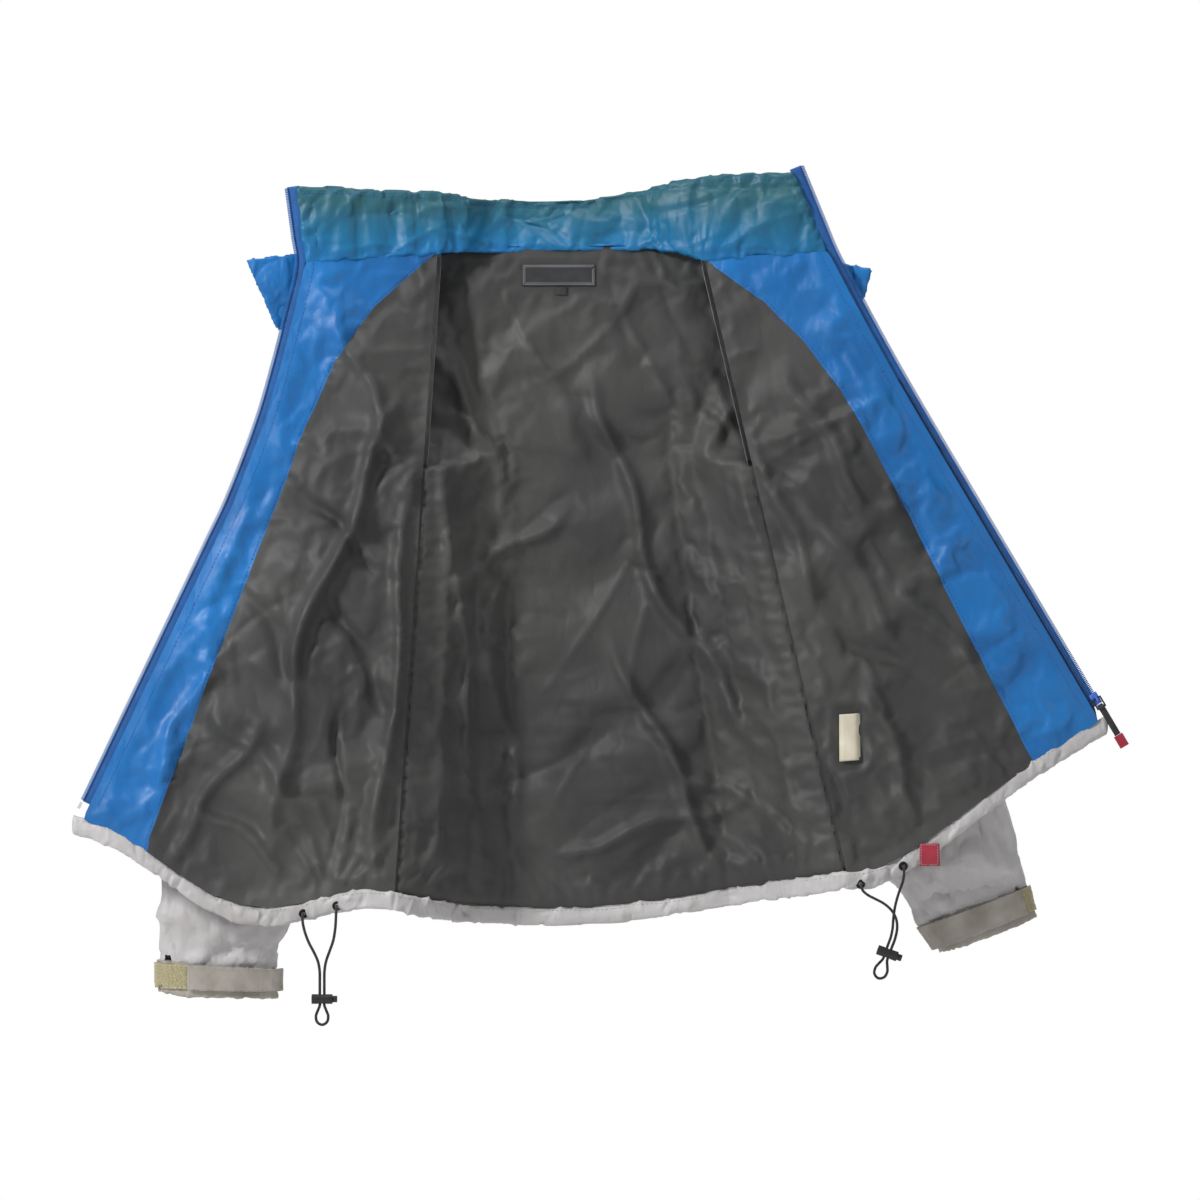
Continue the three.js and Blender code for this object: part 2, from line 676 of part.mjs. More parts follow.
/** Tape with an eye round the ring's lower bar. */
function pullerGeometry() {
  const shape = new THREE.Shape();
  const half = PULLER.thickness / 2;
  const neck = -Math.sqrt(PULLER.head ** 2 - half ** 2);
  shape.moveTo(-half, -PULLER.length).lineTo(-half, neck);
  shape.absarc(0, 0, PULLER.head, Math.atan2(neck, -half), Math.atan2(neck, half), true);
  shape.lineTo(half, -PULLER.length);
  const eye = new THREE.Path();
  eye.absarc(0, 0, PULLER.eye, 0, 2 * Math.PI, false);
  shape.holes.push(eye);
  const geometry = new THREE.ExtrudeGeometry(shape, {
    depth: PULLER.width, bevelEnabled: false, curveSegments: 10,
  });
  geometry.translate(0, 0, -PULLER.width / 2);
  const swap = new THREE.Matrix4().makeBasis(vec(0, 1, 0), vec(0, 0, 1), vec(1, 0, 0));
  return geometry.applyMatrix4(swap);
}

const eyeHeight = RING.bar / 2 - RING.length;
add('zip_slider', onZip(RIGHT, sliderGeometry(), SLIDER_REST), COLOURS.periwinkle);
add('zip_pull', onZip(RIGHT, ringGeometry(), SLIDER_REST), COLOURS.black);
add('puller_tape', onZip(RIGHT, pullerGeometry().translate(0, ringPlane, eyeHeight), SLIDER_REST),
  COLOURS.black);
const tipTop = eyeHeight - PULLER.length - GAP;
add('puller_tip', onZip(RIGHT, box(
  [-TIP.width / 2, ringPlane - TIP.thickness / 2, tipTop - TIP.length],
  [TIP.width / 2, ringPlane + TIP.thickness / 2, tipTop],
), SLIDER_REST), COLOURS.red);
add('zip_box', onZip(RIGHT, box(
  [-3, -2.2, zipFootGap - GAP - BOX_LENGTH],
  [3, 2.2, zipFootGap - GAP],
), 0), COLOURS.periwinkle);
add('zip_pin', onZip(LEFT, box(
  [-1.4, -1.4, zipFootGap - GAP - BOX_LENGTH],
  [1.4, 1.4, zipFootGap - GAP],
), 0), COLOURS.ivory);

// ---------------------------------------------------------------- drawcords and their locks

for (const [name, side] of [['left', LEFT], ['right', RIGHT]]) {
  side.eyelets.forEach((x, number) => {
    const outline = new THREE.Shape().absarc(0, 0, EYELET_RADIUS, 0, 2 * Math.PI, false);
    const hole = new THREE.Path().absarc(0, 0, CORD_DIAMETER / 2 + GAP, 0, 2 * Math.PI, false);
    outline.holes.push(hole);
    const ring = new THREE.ExtrudeGeometry(outline, {
      depth: EYELET_THICKNESS, bevelEnabled: false, curveSegments: 10,
    });
    ring.rotateX(Math.PI / 2);
    const edge = hemPoint(side, x);
    ring.translate(x, edge.y - 2 * GAP, edge.z - HEM_GAP - EYELET_DROP * HEM_HEIGHT);
    add(`eyelet_${name}_${number + 1}`, ring, COLOURS.black);
  });

  const route = new THREE.CatmullRomCurve3(DRAWCORDS[name].map((point) => vec(...point)));
  const section = new THREE.Shape(
    steps(7, 0, 7 / 8).map((turn) => new THREE.Vector2(
      (CORD_DIAMETER / 2) * Math.cos(2 * Math.PI * turn),
      (CORD_DIAMETER / 2) * Math.sin(2 * Math.PI * turn),
    )),
  );
  const cord = new THREE.ExtrudeGeometry(section, {
    steps: 60, extrudePath: route, bevelEnabled: false,
  });
  add(`drawcord_${name}`, cord, COLOURS.black);

  // Lock: a barrel with a sprung plunger, both crossed by a slot for the two strands
  const { centre, tilt } = side.lock;
  const slotHalf = STRAND_SPACING / 2 + CORD_DIAMETER / 2 + GAP;
  const depth = CORD_DIAMETER / 2 + GAP;
  const bore = BUTTON_RADIUS + 0.3;
  const start = -LOCK_LENGTH / 2;
  const end = LOCK_LENGTH / 2;
  const slot = box([-slotHalf, -depth, -20], [slotHalf, depth, 20]);
  const barrel = carve(rod(LOCK_RADIUS, start, end), [], [rod(bore, start + 2.5, end + 5), slot]);
  const plungerStart = start + 2.5 + BUTTON_TRAVEL + 0.5;
  const wideSlot = box([-slotHalf, -depth, -20], [slotHalf + BUTTON_TRAVEL + 0.2, depth, 20]);
  const plunger = carve(rod(BUTTON_RADIUS, plungerStart, end + BUTTON_TRAVEL + 1.5), [], [wideSlot]);
  for (const [part, geometry] of [['cord_lock', barrel], ['lock_button', plunger]]) {
    geometry.rotateY(tilt);
    geometry.translate(...centre);
    add(`${part}_${name}`, geometry, COLOURS.black);
  }
}

// ---------------------------------------------------------------- shoulders, sleeves and cuffs

/** Point of an ellipse between an outer and an inner point of a sleeve, at an angle. */
function rimPoint([outer, inner], halfDepth, angle, grow = 0) {
  const middle = vec((outer[0] + inner[0]) / 2, SLEEVE_Y, (outer[1] + inner[1]) / 2);
  const half = vec((outer[0] - inner[0]) / 2, 0, (outer[1] - inner[1]) / 2);
  half.setLength(half.length() + grow);
  middle.addScaledVector(half, Math.cos(angle));
  middle.y += (halfDepth + grow) * Math.sin(angle);
  return middle;
}

/** The armhole rim of a side, just outside the edge of the back. */
function armholeRim(side) {
  const pit = armpit(side);
  const offset = side.outward * 3;
  return [side.shoulderTip.map((value, axis) => value + (axis ? 0 : offset)), [pit.x + offset, pit.z]];
}

/** Point of a sleeve's skin: t runs from the armhole to the wrist. */
function sleevePoint(side, angle, t, grow) {
  const [top, bend, wrist] = [armholeRim(side), side.elbow, side.wrist].map(
    (rim, station) => rimPoint(rim, SLEEVE_DEPTH[station], angle, grow),
  );
  return top.multiplyScalar((1 - t) ** 2)
    .addScaledVector(bend, 2 * t * (1 - t))
    .addScaledVector(wrist, t ** 2);
}

const sleeveAngles = steps(13, 0, (2 * Math.PI * 13) / 14);
const ELBOW = 0.5; // part of the sleeve above the elbow seam

for (const [name, side] of [['left', LEFT], ['right', RIGHT]]) {
  const stretch = (rows) => loft(
    rows.map((t) => sleeveAngles.map((angle) => sleevePoint(side, angle, t, 0))),
    rows.map((t) => sleeveAngles.map((angle) => sleevePoint(side, angle, t, -SLEEVE_WALL))),
  );
  add(`sleeve_upper_${name}`, stretch(steps(3, 0, ELBOW)), COLOURS.shell);
  add(`sleeve_lower_${name}`, stretch(steps(4, ELBOW + SEAM_SHARE, 1 - SEAM_SHARE)), COLOURS.shell);

  // Cuff, with its loop patch and tab on the front
  const cuffDepth = SLEEVE_DEPTH[2] - 2;
  const onCuff = (angle, v, grow) => rimPoint(side.wrist, cuffDepth, angle, grow)
    .lerp(rimPoint(side.cuffEnd, cuffDepth, angle, grow), v);
  const ring = (grow) => [0.02, 1].map((v) => sleeveAngles.map((angle) => onCuff(angle, v, grow)));
  add(`cuff_${name}`, loft(ring(0), ring(-CUFF_WALL)), COLOURS.taupe);

  const strap = ([from, to], low, thickness, count) => {
    const flat = (height) => (s, v) => onCuff(lerp(from, to, s), lerp(0.1, 0.95, v), height);
    return skins(flat(low), flat(low + thickness), steps(count), [0, 1]);
  };
  add(`loop_patch_${name}`, strap(side.patchAngles, 3 * GAP, PATCH_THICKNESS, 4), COLOURS.khaki);
  const tabHeight = 5 * GAP + PATCH_THICKNESS;
  add(`cuff_tab_${name}`, strap(side.tabAngles, tabHeight, TAB_THICKNESS, 8), COLOURS.taupe);

  // Shoulder pad from the neck to the sleeve, closing the armhole on top
  const shoulder = (height) => (s, v) => {
    const tip = armholeRim(side)[0];
    const x = lerp(side.foldTop[0] + side.outward * 4, tip[0] - side.outward * 8, s);
    const y = lerp(-15, BACK_DEPTH - 2 * GAP, v);
    const z = lerp(side.foldTop[1] - 2, tip[1] + 6, s);
    return vec(x, y, z + height + 3 * Math.sin(Math.PI * v));
  };
  add(`shoulder_${name}`, skins(shoulder(0), shoulder(-10), steps(4), steps(3)), COLOURS.blue);
}

// ---------------------------------------------------------------- hood, hanging down the back

/** Point of the hood: s across, t from the neck down to the rounded crown. */
function hoodPoint(s, t, depth) {
  const narrow = Math.sqrt(1 - 0.8 * Math.max(0, (t - 0.45) / 0.55) ** 2);
  const width = lerp(0.72, 1, ease(t, 0.5)) * HOOD_WIDTH * narrow;
  const middle = (LEFT.foldTop[0] + RIGHT.foldTop[0]) / 2;
  const x = middle + (s - 0.5) * width;
  const crown = HOOD_CROWN * (1 - Math.sin(Math.PI * s)) * t;
  return vec(x, depth, NECK_RISE - HOOD_DROP - HOOD_LENGTH * t + crown);
}
const hoodColumns = steps(8);
const hoodRows = steps(7);
const hoodLining = (s, t) => hoodPoint(s, t, HOOD_FRONT);
const hoodShell = (s, t) => {
  const bulge = HOOD_BULGE * Math.sin(Math.PI * s) ** 0.6 * Math.sin(Math.PI * t) ** 0.8;
  return hoodPoint(s, t, HOOD_FRONT + HOOD_WALL + GAP + bulge);
};
add('hood_lining', layer(hoodLining, 0, HOOD_WALL, hoodColumns, hoodRows), COLOURS.lining);
add('hood_shell', layer(hoodShell, 0, HOOD_WALL, hoodColumns, hoodRows), COLOURS.blue);

export default jacket;
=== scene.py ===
"""Looks of a ski jacket that hangs unzipped, with both fronts spread wide open.

Metres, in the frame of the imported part: X across the jacket, Y from its open front to its back, Z up.
Every length below is in metres unless its name says otherwise.
"""

import json
import math

import bmesh
import bpy
import numpy as np
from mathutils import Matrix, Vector, geometry
from mathutils.bvhtree import BVHTree

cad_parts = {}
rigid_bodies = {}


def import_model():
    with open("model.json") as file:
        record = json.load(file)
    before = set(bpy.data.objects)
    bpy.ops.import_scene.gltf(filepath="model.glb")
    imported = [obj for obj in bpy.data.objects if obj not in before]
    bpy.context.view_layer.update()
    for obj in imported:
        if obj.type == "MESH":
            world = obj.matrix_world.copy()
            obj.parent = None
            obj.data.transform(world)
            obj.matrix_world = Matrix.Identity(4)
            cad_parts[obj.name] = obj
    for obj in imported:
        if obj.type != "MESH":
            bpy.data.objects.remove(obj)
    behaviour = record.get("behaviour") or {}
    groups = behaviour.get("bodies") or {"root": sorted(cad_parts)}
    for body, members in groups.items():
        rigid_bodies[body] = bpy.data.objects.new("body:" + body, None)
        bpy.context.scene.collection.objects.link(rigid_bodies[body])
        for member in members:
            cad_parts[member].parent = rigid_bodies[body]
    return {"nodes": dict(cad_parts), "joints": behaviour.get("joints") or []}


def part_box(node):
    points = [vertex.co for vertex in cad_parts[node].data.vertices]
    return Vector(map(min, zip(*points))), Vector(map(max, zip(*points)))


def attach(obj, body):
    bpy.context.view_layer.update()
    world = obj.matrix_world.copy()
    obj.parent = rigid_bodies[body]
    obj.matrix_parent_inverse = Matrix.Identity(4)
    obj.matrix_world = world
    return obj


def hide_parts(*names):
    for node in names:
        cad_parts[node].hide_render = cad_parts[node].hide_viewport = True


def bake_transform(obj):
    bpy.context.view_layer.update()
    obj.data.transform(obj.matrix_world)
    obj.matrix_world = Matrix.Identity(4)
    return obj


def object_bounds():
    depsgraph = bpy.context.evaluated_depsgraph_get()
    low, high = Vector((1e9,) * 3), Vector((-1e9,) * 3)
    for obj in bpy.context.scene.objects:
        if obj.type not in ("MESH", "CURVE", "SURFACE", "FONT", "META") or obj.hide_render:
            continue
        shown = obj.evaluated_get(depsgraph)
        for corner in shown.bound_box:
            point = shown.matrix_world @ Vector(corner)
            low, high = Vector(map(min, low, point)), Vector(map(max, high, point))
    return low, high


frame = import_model()
cad_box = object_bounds()
NODES = frame["nodes"]
JOINTS = {joint["name"]: joint for joint in frame["joints"]}
SIDES = {"left": -1, "right": 1}
PARTS = ("left", "back", "right")

SHEET_STEP = 0.0078  # spacing of the points of a simulated sheet
TUCK = 0.005  # how far a lining's border passes under its neighbours
BACK_TUCK = 0.008  # how far the back's lining passes behind the fronts at the fold lines
DIP = 0.005  # the deepest that a wrinkle sinks towards the padding
SHELL_DIP = 0.0035  # the same for the outer shell
LINING_TO_PADDING = 0.0018  # the padding's near face lies this far behind the lining's
NECK_REACH = 0.008  # how far the outer shell passes over the foot of the collar
BODY_THICKNESS = 0.0113  # from the inside of the lining to the outside of the shell
AT_ZIP_THICKNESS = 0.0062  # the same where the body is sewn to the zip
CORD_DIAMETER = 0.003

# ---------------------------------------------------------------- camera, light and floor


def camera():
    """Camera straight in front of the jacket, at the height of its middle."""
    data = bpy.data.cameras.new("camera")
    data.sensor_width = 36
    data.lens = 124
    data.clip_end = 60
    eye = bpy.data.objects.new("camera", data)
    eye.location = (0.043, -4.5, -0.34)
    eye.rotation_euler = (math.pi / 2, 0, 0)
    bpy.context.scene.collection.objects.link(eye)
    bpy.context.scene.camera = eye


def lamp(name, place, target, size, power):
    """Square soft light that looks at a target."""
    data = bpy.data.lights.new(name, "AREA")
    data.size = size
    data.energy = power
    light = bpy.data.objects.new(name, data)
    light.location = place
    light.rotation_euler = (Vector(target) - Vector(place)).to_track_quat("-Z", "Y").to_euler()
    bpy.context.scene.collection.objects.link(light)


def shows_white(tree, lit, white, output, socket):
    """Connects a shader that the camera sees as even white, and that lights the object as another."""
    path = tree.nodes.new("ShaderNodeLightPath")
    mix = tree.nodes.new("ShaderNodeMixShader")
    tree.links.new(path.outputs["Is Camera Ray"], mix.inputs[0])
    tree.links.new(lit, mix.inputs[1])
    tree.links.new(white, mix.inputs[2])
    tree.links.new(mix.outputs[0], output.inputs[socket])


def studio():
    """Pale floor, a white room and soft lights."""
    scene = bpy.context.scene
    scene.view_settings.view_transform = "Standard"
    world = bpy.data.worlds.new("room")
    scene.world = world
    world.use_nodes = True
    tree = world.node_tree
    tree.nodes.clear()
    lit = tree.nodes.new("ShaderNodeBackground")
    lit.inputs["Strength"].default_value = 0.2
    white = tree.nodes.new("ShaderNodeBackground")
    for shade in (lit, white):
        shade.inputs["Color"].default_value = (1, 1, 1, 1)
    output = tree.nodes.new("ShaderNodeOutputWorld")
    shows_white(tree, lit.outputs[0], white.outputs[0], output, "Surface")

    bpy.ops.mesh.primitive_plane_add(size=60, location=(0, 0, cad_box[0].z - 0.25))
    floor = bpy.context.object
    floor.name = "floor"
    paint = bpy.data.materials.new("floor_white")
    paint.use_nodes = True
    tree = paint.node_tree
    tree.nodes.clear()
    diffuse = tree.nodes.new("ShaderNodeBsdfDiffuse")
    diffuse.inputs["Color"].default_value = (0.8, 0.8, 0.8, 1)
    glow = tree.nodes.new("ShaderNodeEmission")
    output = tree.nodes.new("ShaderNodeOutputMaterial")
    shows_white(tree, diffuse.outputs[0], glow.outputs[0], output, "Surface")
    floor.data.materials.append(paint)

    lamp("key", (-2.5, -2.0, 1.3), (0, 0, -0.35), 0.5, 104)
    lamp("fill", (2.4, -2.8, 0.2), (0, 0, -0.35), 1.2, 17)
    lamp("top", (0.3, -0.4, 1.9), (0, 0, -0.3), 1.0, 20)
    lamp("rear", (1.8, 2.6, 1.3), (0, 0, -0.35), 1.6, 45)


camera()
studio()

# ---------------------------------------------------------------- materials


class Paint:
    """One procedural material: a small builder round its node tree."""

    def __init__(self, name, roughness, **sockets):
        self.material = bpy.data.materials.new(name)
        self.material.use_nodes = True
        self.tree = self.material.node_tree
        self.shader = self.tree.nodes["Principled BSDF"]
        self.shader.inputs["Roughness"].default_value = roughness
        for socket, value in sockets.items():
            self.shader.inputs[socket.replace("_", " ")].default_value = value
        self.place = self.node("ShaderNodeTexCoord").outputs["Object"]
        self.height = None

    def node(self, kind, **settings):
        made = self.tree.nodes.new(kind)
        for key, value in settings.items():
            setattr(made, key, value)
        return made

    def link(self, output, target):
        self.tree.links.new(output, target)

    def noise(self, scale, detail=3.0, stretch=(1, 1, 1)):
        """Even noise, with its pattern squeezed along the axes by stretch."""
        mapping = self.node("ShaderNodeMapping")
        mapping.inputs["Scale"].default_value = stretch
        self.link(self.place, mapping.inputs["Vector"])
        made = self.node("ShaderNodeTexNoise")
        made.inputs["Scale"].default_value = scale
        made.inputs["Detail"].default_value = detail
        self.link(mapping.outputs[0], made.inputs["Vector"])
        return made.outputs["Fac"]

    def waves(self, scale, direction, distortion=0.0):
        made = self.node("ShaderNodeTexWave", wave_type="BANDS", bands_direction=direction)
        made.inputs["Scale"].default_value = scale
        made.inputs["Distortion"].default_value = distortion
        self.link(self.place, made.inputs["Vector"])
        return made.outputs["Fac"]

    def math(self, operation, a, b):
        made = self.node("ShaderNodeMath", operation=operation)
        for socket, value in zip(made.inputs, (a, b)):
            if isinstance(value, (int, float)):
                socket.default_value = value
            else:
                self.link(value, socket)
        return made.outputs[0]

    def ramp(self, value, *stops):
        """Colours at positions from 0 to 1."""
        made = self.node("ShaderNodeValToRGB")
        for index, (position, colour) in enumerate(stops):
            band = made.color_ramp.elements
            stop = band[index] if index < 2 else band.new(position)
            stop.position = position
            stop.color = (*colour, 1)
        self.link(value, made.inputs[0])
        return made.outputs["Color"]

    def span(self, value, low, high, to_low=0.0, to_high=1.0):
        made = self.node("ShaderNodeMapRange")
        for socket, number in zip(list(made.inputs)[1:5], (low, high, to_low, to_high)):
            socket.default_value = number
        self.link(value, made.inputs[0])
        return made.outputs[0]

    def mix(self, share, a, b, blend="MIX"):
        made = self.node("ShaderNodeMix", data_type="RGBA", blend_type=blend)
        for socket, value in ((made.inputs[0], share), (made.inputs[6], a), (made.inputs[7], b)):
            if isinstance(value, (int, float)):
                socket.default_value = value
            elif isinstance(value, tuple):
                socket.default_value = (*value, 1)
            else:
                self.link(value, socket)
        return made.outputs[2]

    def colour(self, value):
        self.link(value, self.shader.inputs["Base Color"])

    def rough(self, value):
        self.link(value, self.shader.inputs["Roughness"])

    def bump(self, height, depth, strength=1.0):
        """Adds a bump of a real depth on top of the bumps so far."""
        made = self.node("ShaderNodeBump")
        made.inputs["Strength"].default_value = strength
        made.inputs["Distance"].default_value = depth
        self.link(height, made.inputs["Height"])
        if self.height is not None:
            self.link(self.height, made.inputs["Normal"])
        self.height = made.outputs[0]
        self.link(self.height, self.shader.inputs["Normal"])

    def weave(self, pitch, depth):
        """Plain weave of threads across and down, at a pitch between threads."""
        scale = 0.314 / pitch
        across = self.waves(scale, "X")
        down = self.waves(scale, "Z")
        self.bump(self.math("MULTIPLY", across, down), depth, 0.6)


def mottled(paint, dark, light, scale=9.0):
    """Colour that wanders at random between two shades; where the two shades lie far apart, as on the
    lining, the wander is painted shade of broad folds and painted sheen.
    """
    cloud = paint.noise(scale, 4)
    return paint.ramp(cloud, (0.32, dark), (0.68, light))


def crinkled(paint, size, depth):
    """Fine crinkles of coated nylon, from ridged noise."""
    fine = paint.noise(size, 2.5, (1.0, 1.0, 0.55))
    ridge = paint.math("ABSOLUTE", paint.math("SUBTRACT", fine, 0.5), 0)
    paint.bump(ridge, depth, 0.55)


def lining_cloth():
    """Dark grey taffeta, with an even sheen, and broad blotches of painted shade and painted sheen in
    its colour.
    """
    paint = Paint("lining_taffeta", 0.6, Sheen_Weight=0.1, Sheen_Roughness=0.4)
    paint.shader.inputs["Specular IOR Level"].default_value = 0.42
    # the wide span of this mottle is painted shade of deep folds and painted sheen, laid over the
    # taffeta's dark grey
    paint.colour(mottled(paint, (0.03, 0.031, 0.03), (0.064, 0.065, 0.062), 5))
    paint.rough(paint.span(paint.noise(26, 3), 0.3, 0.7, 0.52, 0.66))
    crinkled(paint, 34, 0.0042)
    paint.weave(0.0007, 0.00008)
    return paint.material


def blue_nylon():
    """Bright coated nylon of the facings, yoke and hood."""
    paint = Paint("blue_nylon", 0.4, Coat_Weight=0.06, Coat_Roughness=0.3)
    paint.shader.inputs["Specular IOR Level"].default_value = 0.38
    paint.colour(mottled(paint, (0.005, 0.115, 0.36), (0.008, 0.165, 0.48)))
    paint.rough(paint.span(paint.noise(30, 3), 0.3, 0.7, 0.4, 0.56))
    crinkled(paint, 42, 0.005)
    paint.weave(0.0008, 0.00008)
    return paint.material


def collar_nylon():
    """Coated nylon that fades from blue at the seam to worn teal at the top."""
    paint = Paint("collar_nylon", 0.46, Coat_Weight=0.04, Coat_Roughness=0.35)
    paint.shader.inputs["Specular IOR Level"].default_value = 0.36
    axes = paint.node("ShaderNodeSeparateXYZ")
    paint.link(paint.place, axes.inputs[0])
    low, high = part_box("collar_back")
    wander = paint.math("MULTIPLY", paint.noise(11, 4), 0.07)
    level = paint.span(paint.math("ADD", axes.outputs["Z"], wander), low.z + 0.01, high.z + 0.045)
    paint.colour(paint.ramp(
        level, (0.0, (0.002, 0.15, 0.5)), (0.4, (0.005, 0.14, 0.3)), (0.72, (0.02, 0.11, 0.145)),
    ))
    paint.rough(paint.span(paint.noise(24, 3), 0.3, 0.7, 0.42, 0.58))
    crinkled(paint, 40, 0.004)
    paint.weave(0.0008, 0.00008)
    return paint.material


def shell_nylon():
    """Warm light grey outer nylon, a little soiled."""
    paint = Paint("shell_nylon", 0.5, Sheen_Weight=0.1)
    clean = mottled(paint, (0.43, 0.415, 0.415), (0.57, 0.555, 0.56), 7)
    soil = paint.span(paint.noise(16, 5), 0.55, 0.8)
    paint.colour(paint.mix(paint.math("MULTIPLY", soil, 0.45), clean, (0.36, 0.33, 0.29)))
    paint.rough(paint.span(paint.noise(26, 3), 0.3, 0.7, 0.4, 0.58))
    crinkled(paint, 46, 0.009)
    paint.weave(0.0009, 0.0001)
    return paint.material


def plain_cloth(name, dark, light, roughness=0.75, pitch=0.0008, depth=0.00015):
    """Woven cloth between two close shades."""
    paint = Paint(name, roughness, Sheen_Weight=0.15)
    paint.colour(mottled(paint, dark, light, 40))
    paint.bump(paint.noise(160, 2), 0.0006, 0.4)
    paint.weave(pitch, depth)
    return paint.material


def loop_pile():
    """Fuzzy loop side of a touch fastener."""
    paint = Paint("loop_pile", 0.95, Sheen_Weight=0.5)
    pile = paint.noise(900, 2)
    paint.colour(paint.ramp(pile, (0.3, (0.27, 0.235, 0.115)), (0.7, (0.5, 0.45, 0.27))))
    paint.bump(pile, 0.0012)
    return paint.material


def hard_finish(name, dark, light, roughness, metallic=0.0):
    """Moulded plastic or painted metal with a fine grain and slight wear."""
    paint = Paint(name, roughness, Metallic=metallic)
    paint.colour(mottled(paint, dark, light, 60))
    grain = paint.noise(350, 3)
    paint.rough(paint.span(grain, 0.3, 0.7, roughness - 0.06, roughness + 0.1))
    paint.bump(grain, 0.0002, 0.5)
    return paint.material


def zip_cloth():
    """Zip tape: herringbone of two fine waves."""
    paint = Paint("zip_tape_cloth", 0.62, Sheen_Weight=0.12)
    paint.colour(mottled(paint, (0.004, 0.075, 0.27), (0.006, 0.105, 0.36), 60))
    paint.bump(paint.waves(320, "DIAGONAL", 1.2), 0.0003, 0.6)
    return paint.material


def cord_braid():
    """Braided black elastic cord: two families of strands that cross."""
    paint = Paint("cord_braid", 0.68, Sheen_Weight=0.15)
    paint.colour(mottled(paint, (0.008, 0.008, 0.009), (0.02, 0.02, 0.022), 200))
    paint.bump(paint.waves(380, "DIAGONAL", 2.0), 0.0005)
    paint.bump(paint.noise(900, 1), 0.0004, 0.6)
    return paint.material


MATERIALS = {
    "lining": lining_cloth(),
    "blue": blue_nylon(),
    "collar": collar_nylon(),
    "shell": shell_nylon(),
    "taupe": plain_cloth("cuff_taupe_cloth", (0.29, 0.26, 0.225), (0.41, 0.38, 0.34)),
    "black_cloth": plain_cloth("black_cloth", (0.012, 0.012, 0.014), (0.03, 0.03, 0.032)),
    "label": plain_cloth("label_damask", (0.013, 0.014, 0.017), (0.026, 0.028, 0.033), 0.6),
    "red": plain_cloth("red_cloth", (0.28, 0.012, 0.03), (0.4, 0.025, 0.05), 0.6),
    "ivory": plain_cloth("care_satin", (0.56, 0.5, 0.37), (0.7, 0.65, 0.52), 0.5, 0.0005, 0.0001),
    "thread": plain_cloth("grey_thread", (0.34, 0.34, 0.35), (0.48, 0.48, 0.48), 0.6),
    "thread_dark": plain_cloth("dark_thread", (0.02, 0.02, 0.022), (0.045, 0.045, 0.046), 0.6),
    "thread_blue": plain_cloth("blue_thread", (0.006, 0.1, 0.4), (0.012, 0.16, 0.55), 0.5),
    "loop": loop_pile(),
    "tape": zip_cloth(),
    "coil": hard_finish("zip_coil", (0.004, 0.08, 0.3), (0.006, 0.12, 0.4), 0.5),
    "slider": hard_finish("slider_paint", (0.06, 0.16, 0.62), (0.1, 0.23, 0.78), 0.34, 0.1),
    "clear": hard_finish("pin_resin", (0.5, 0.55, 0.62), (0.66, 0.7, 0.74), 0.25),
    "plastic": hard_finish("black_plastic", (0.009, 0.009, 0.01), (0.018, 0.018, 0.02), 0.42),
    "eyelet": hard_finish("eyelet_enamel", (0.01, 0.01, 0.011), (0.02, 0.02, 0.022), 0.3, 0.4),
    "cord": cord_braid(),
    "rubber": hard_finish("red_rubber", (0.3, 0.01, 0.03), (0.42, 0.02, 0.05), 0.5),
}

# ---------------------------------------------------------------- drawcords

DRAWCORDS = {
    "left": [
        (-0.274, -0.0833, -0.6754), (-0.274, -0.0905, -0.6754), (-0.274, -0.0958, -0.6776),
        (-0.2737, -0.098, -0.6827), (-0.2718, -0.098, -0.692), (-0.2675, -0.098, -0.704),
        (-0.2618, -0.098, -0.715), (-0.2574, -0.098, -0.725), (-0.2556, -0.098, -0.735),
        (-0.2554, -0.098, -0.748), (-0.2554, -0.098, -0.76), (-0.2554, -0.098, -0.7715),
        (-0.2574, -0.098, -0.777), (-0.2595, -0.098, -0.783), (-0.2583, -0.098, -0.7893),
        (-0.253, -0.098, -0.7924), (-0.2477, -0.098, -0.7893), (-0.2465, -0.098, -0.783),
        (-0.2486, -0.098, -0.777), (-0.2506, -0.098, -0.7715), (-0.2506, -0.098, -0.76),
        (-0.2506, -0.098, -0.748), (-0.2504, -0.098, -0.735), (-0.2488, -0.098, -0.725),
        (-0.245, -0.098, -0.714), (-0.2412, -0.098, -0.703), (-0.239, -0.098, -0.69),
        (-0.2382, -0.098, -0.677), (-0.238, -0.0958, -0.6696), (-0.238, -0.0915, -0.6668),
        (-0.238, -0.0864, -0.6668),
    ],
    "right": [
        (0.321, -0.0899, -0.6432), (0.321, -0.0925, -0.6432), (0.3212, -0.0972, -0.6452),
        (0.3228, -0.099, -0.6493), (0.328, -0.099, -0.654), (0.336, -0.0996, -0.6582),
        (0.345, -0.101, -0.663), (0.353, -0.1018, -0.67), (0.358, -0.1016, -0.679),
        (0.3593, -0.1004, -0.689), (0.3571, -0.099, -0.7009), (0.3543, -0.099, -0.7084),
        (0.3513, -0.099, -0.7168), (0.3487, -0.099, -0.7239), (0.3489, -0.099, -0.7298),
        (0.3488, -0.099, -0.7361), (0.3455, -0.099, -0.7416), (0.3393, -0.099, -0.7427),
        (0.3352, -0.099, -0.7379), (0.3362, -0.099, -0.7315), (0.3402, -0.099, -0.7266),
        (0.3442, -0.099, -0.7222), (0.3467, -0.099, -0.7152), (0.3498, -0.099, -0.7067),
        (0.3526, -0.0986, -0.6992), (0.3546, -0.0976, -0.69), (0.3556, -0.0974, -0.678),
        (0.3576, -0.0976, -0.665), (0.3615, -0.0984, -0.651), (0.3654, -0.099, -0.64),
        (0.3668, -0.098, -0.632), (0.367, -0.0945, -0.6258), (0.367, -0.09, -0.6244),
        (0.367, -0.0851, -0.6244),
    ],
}


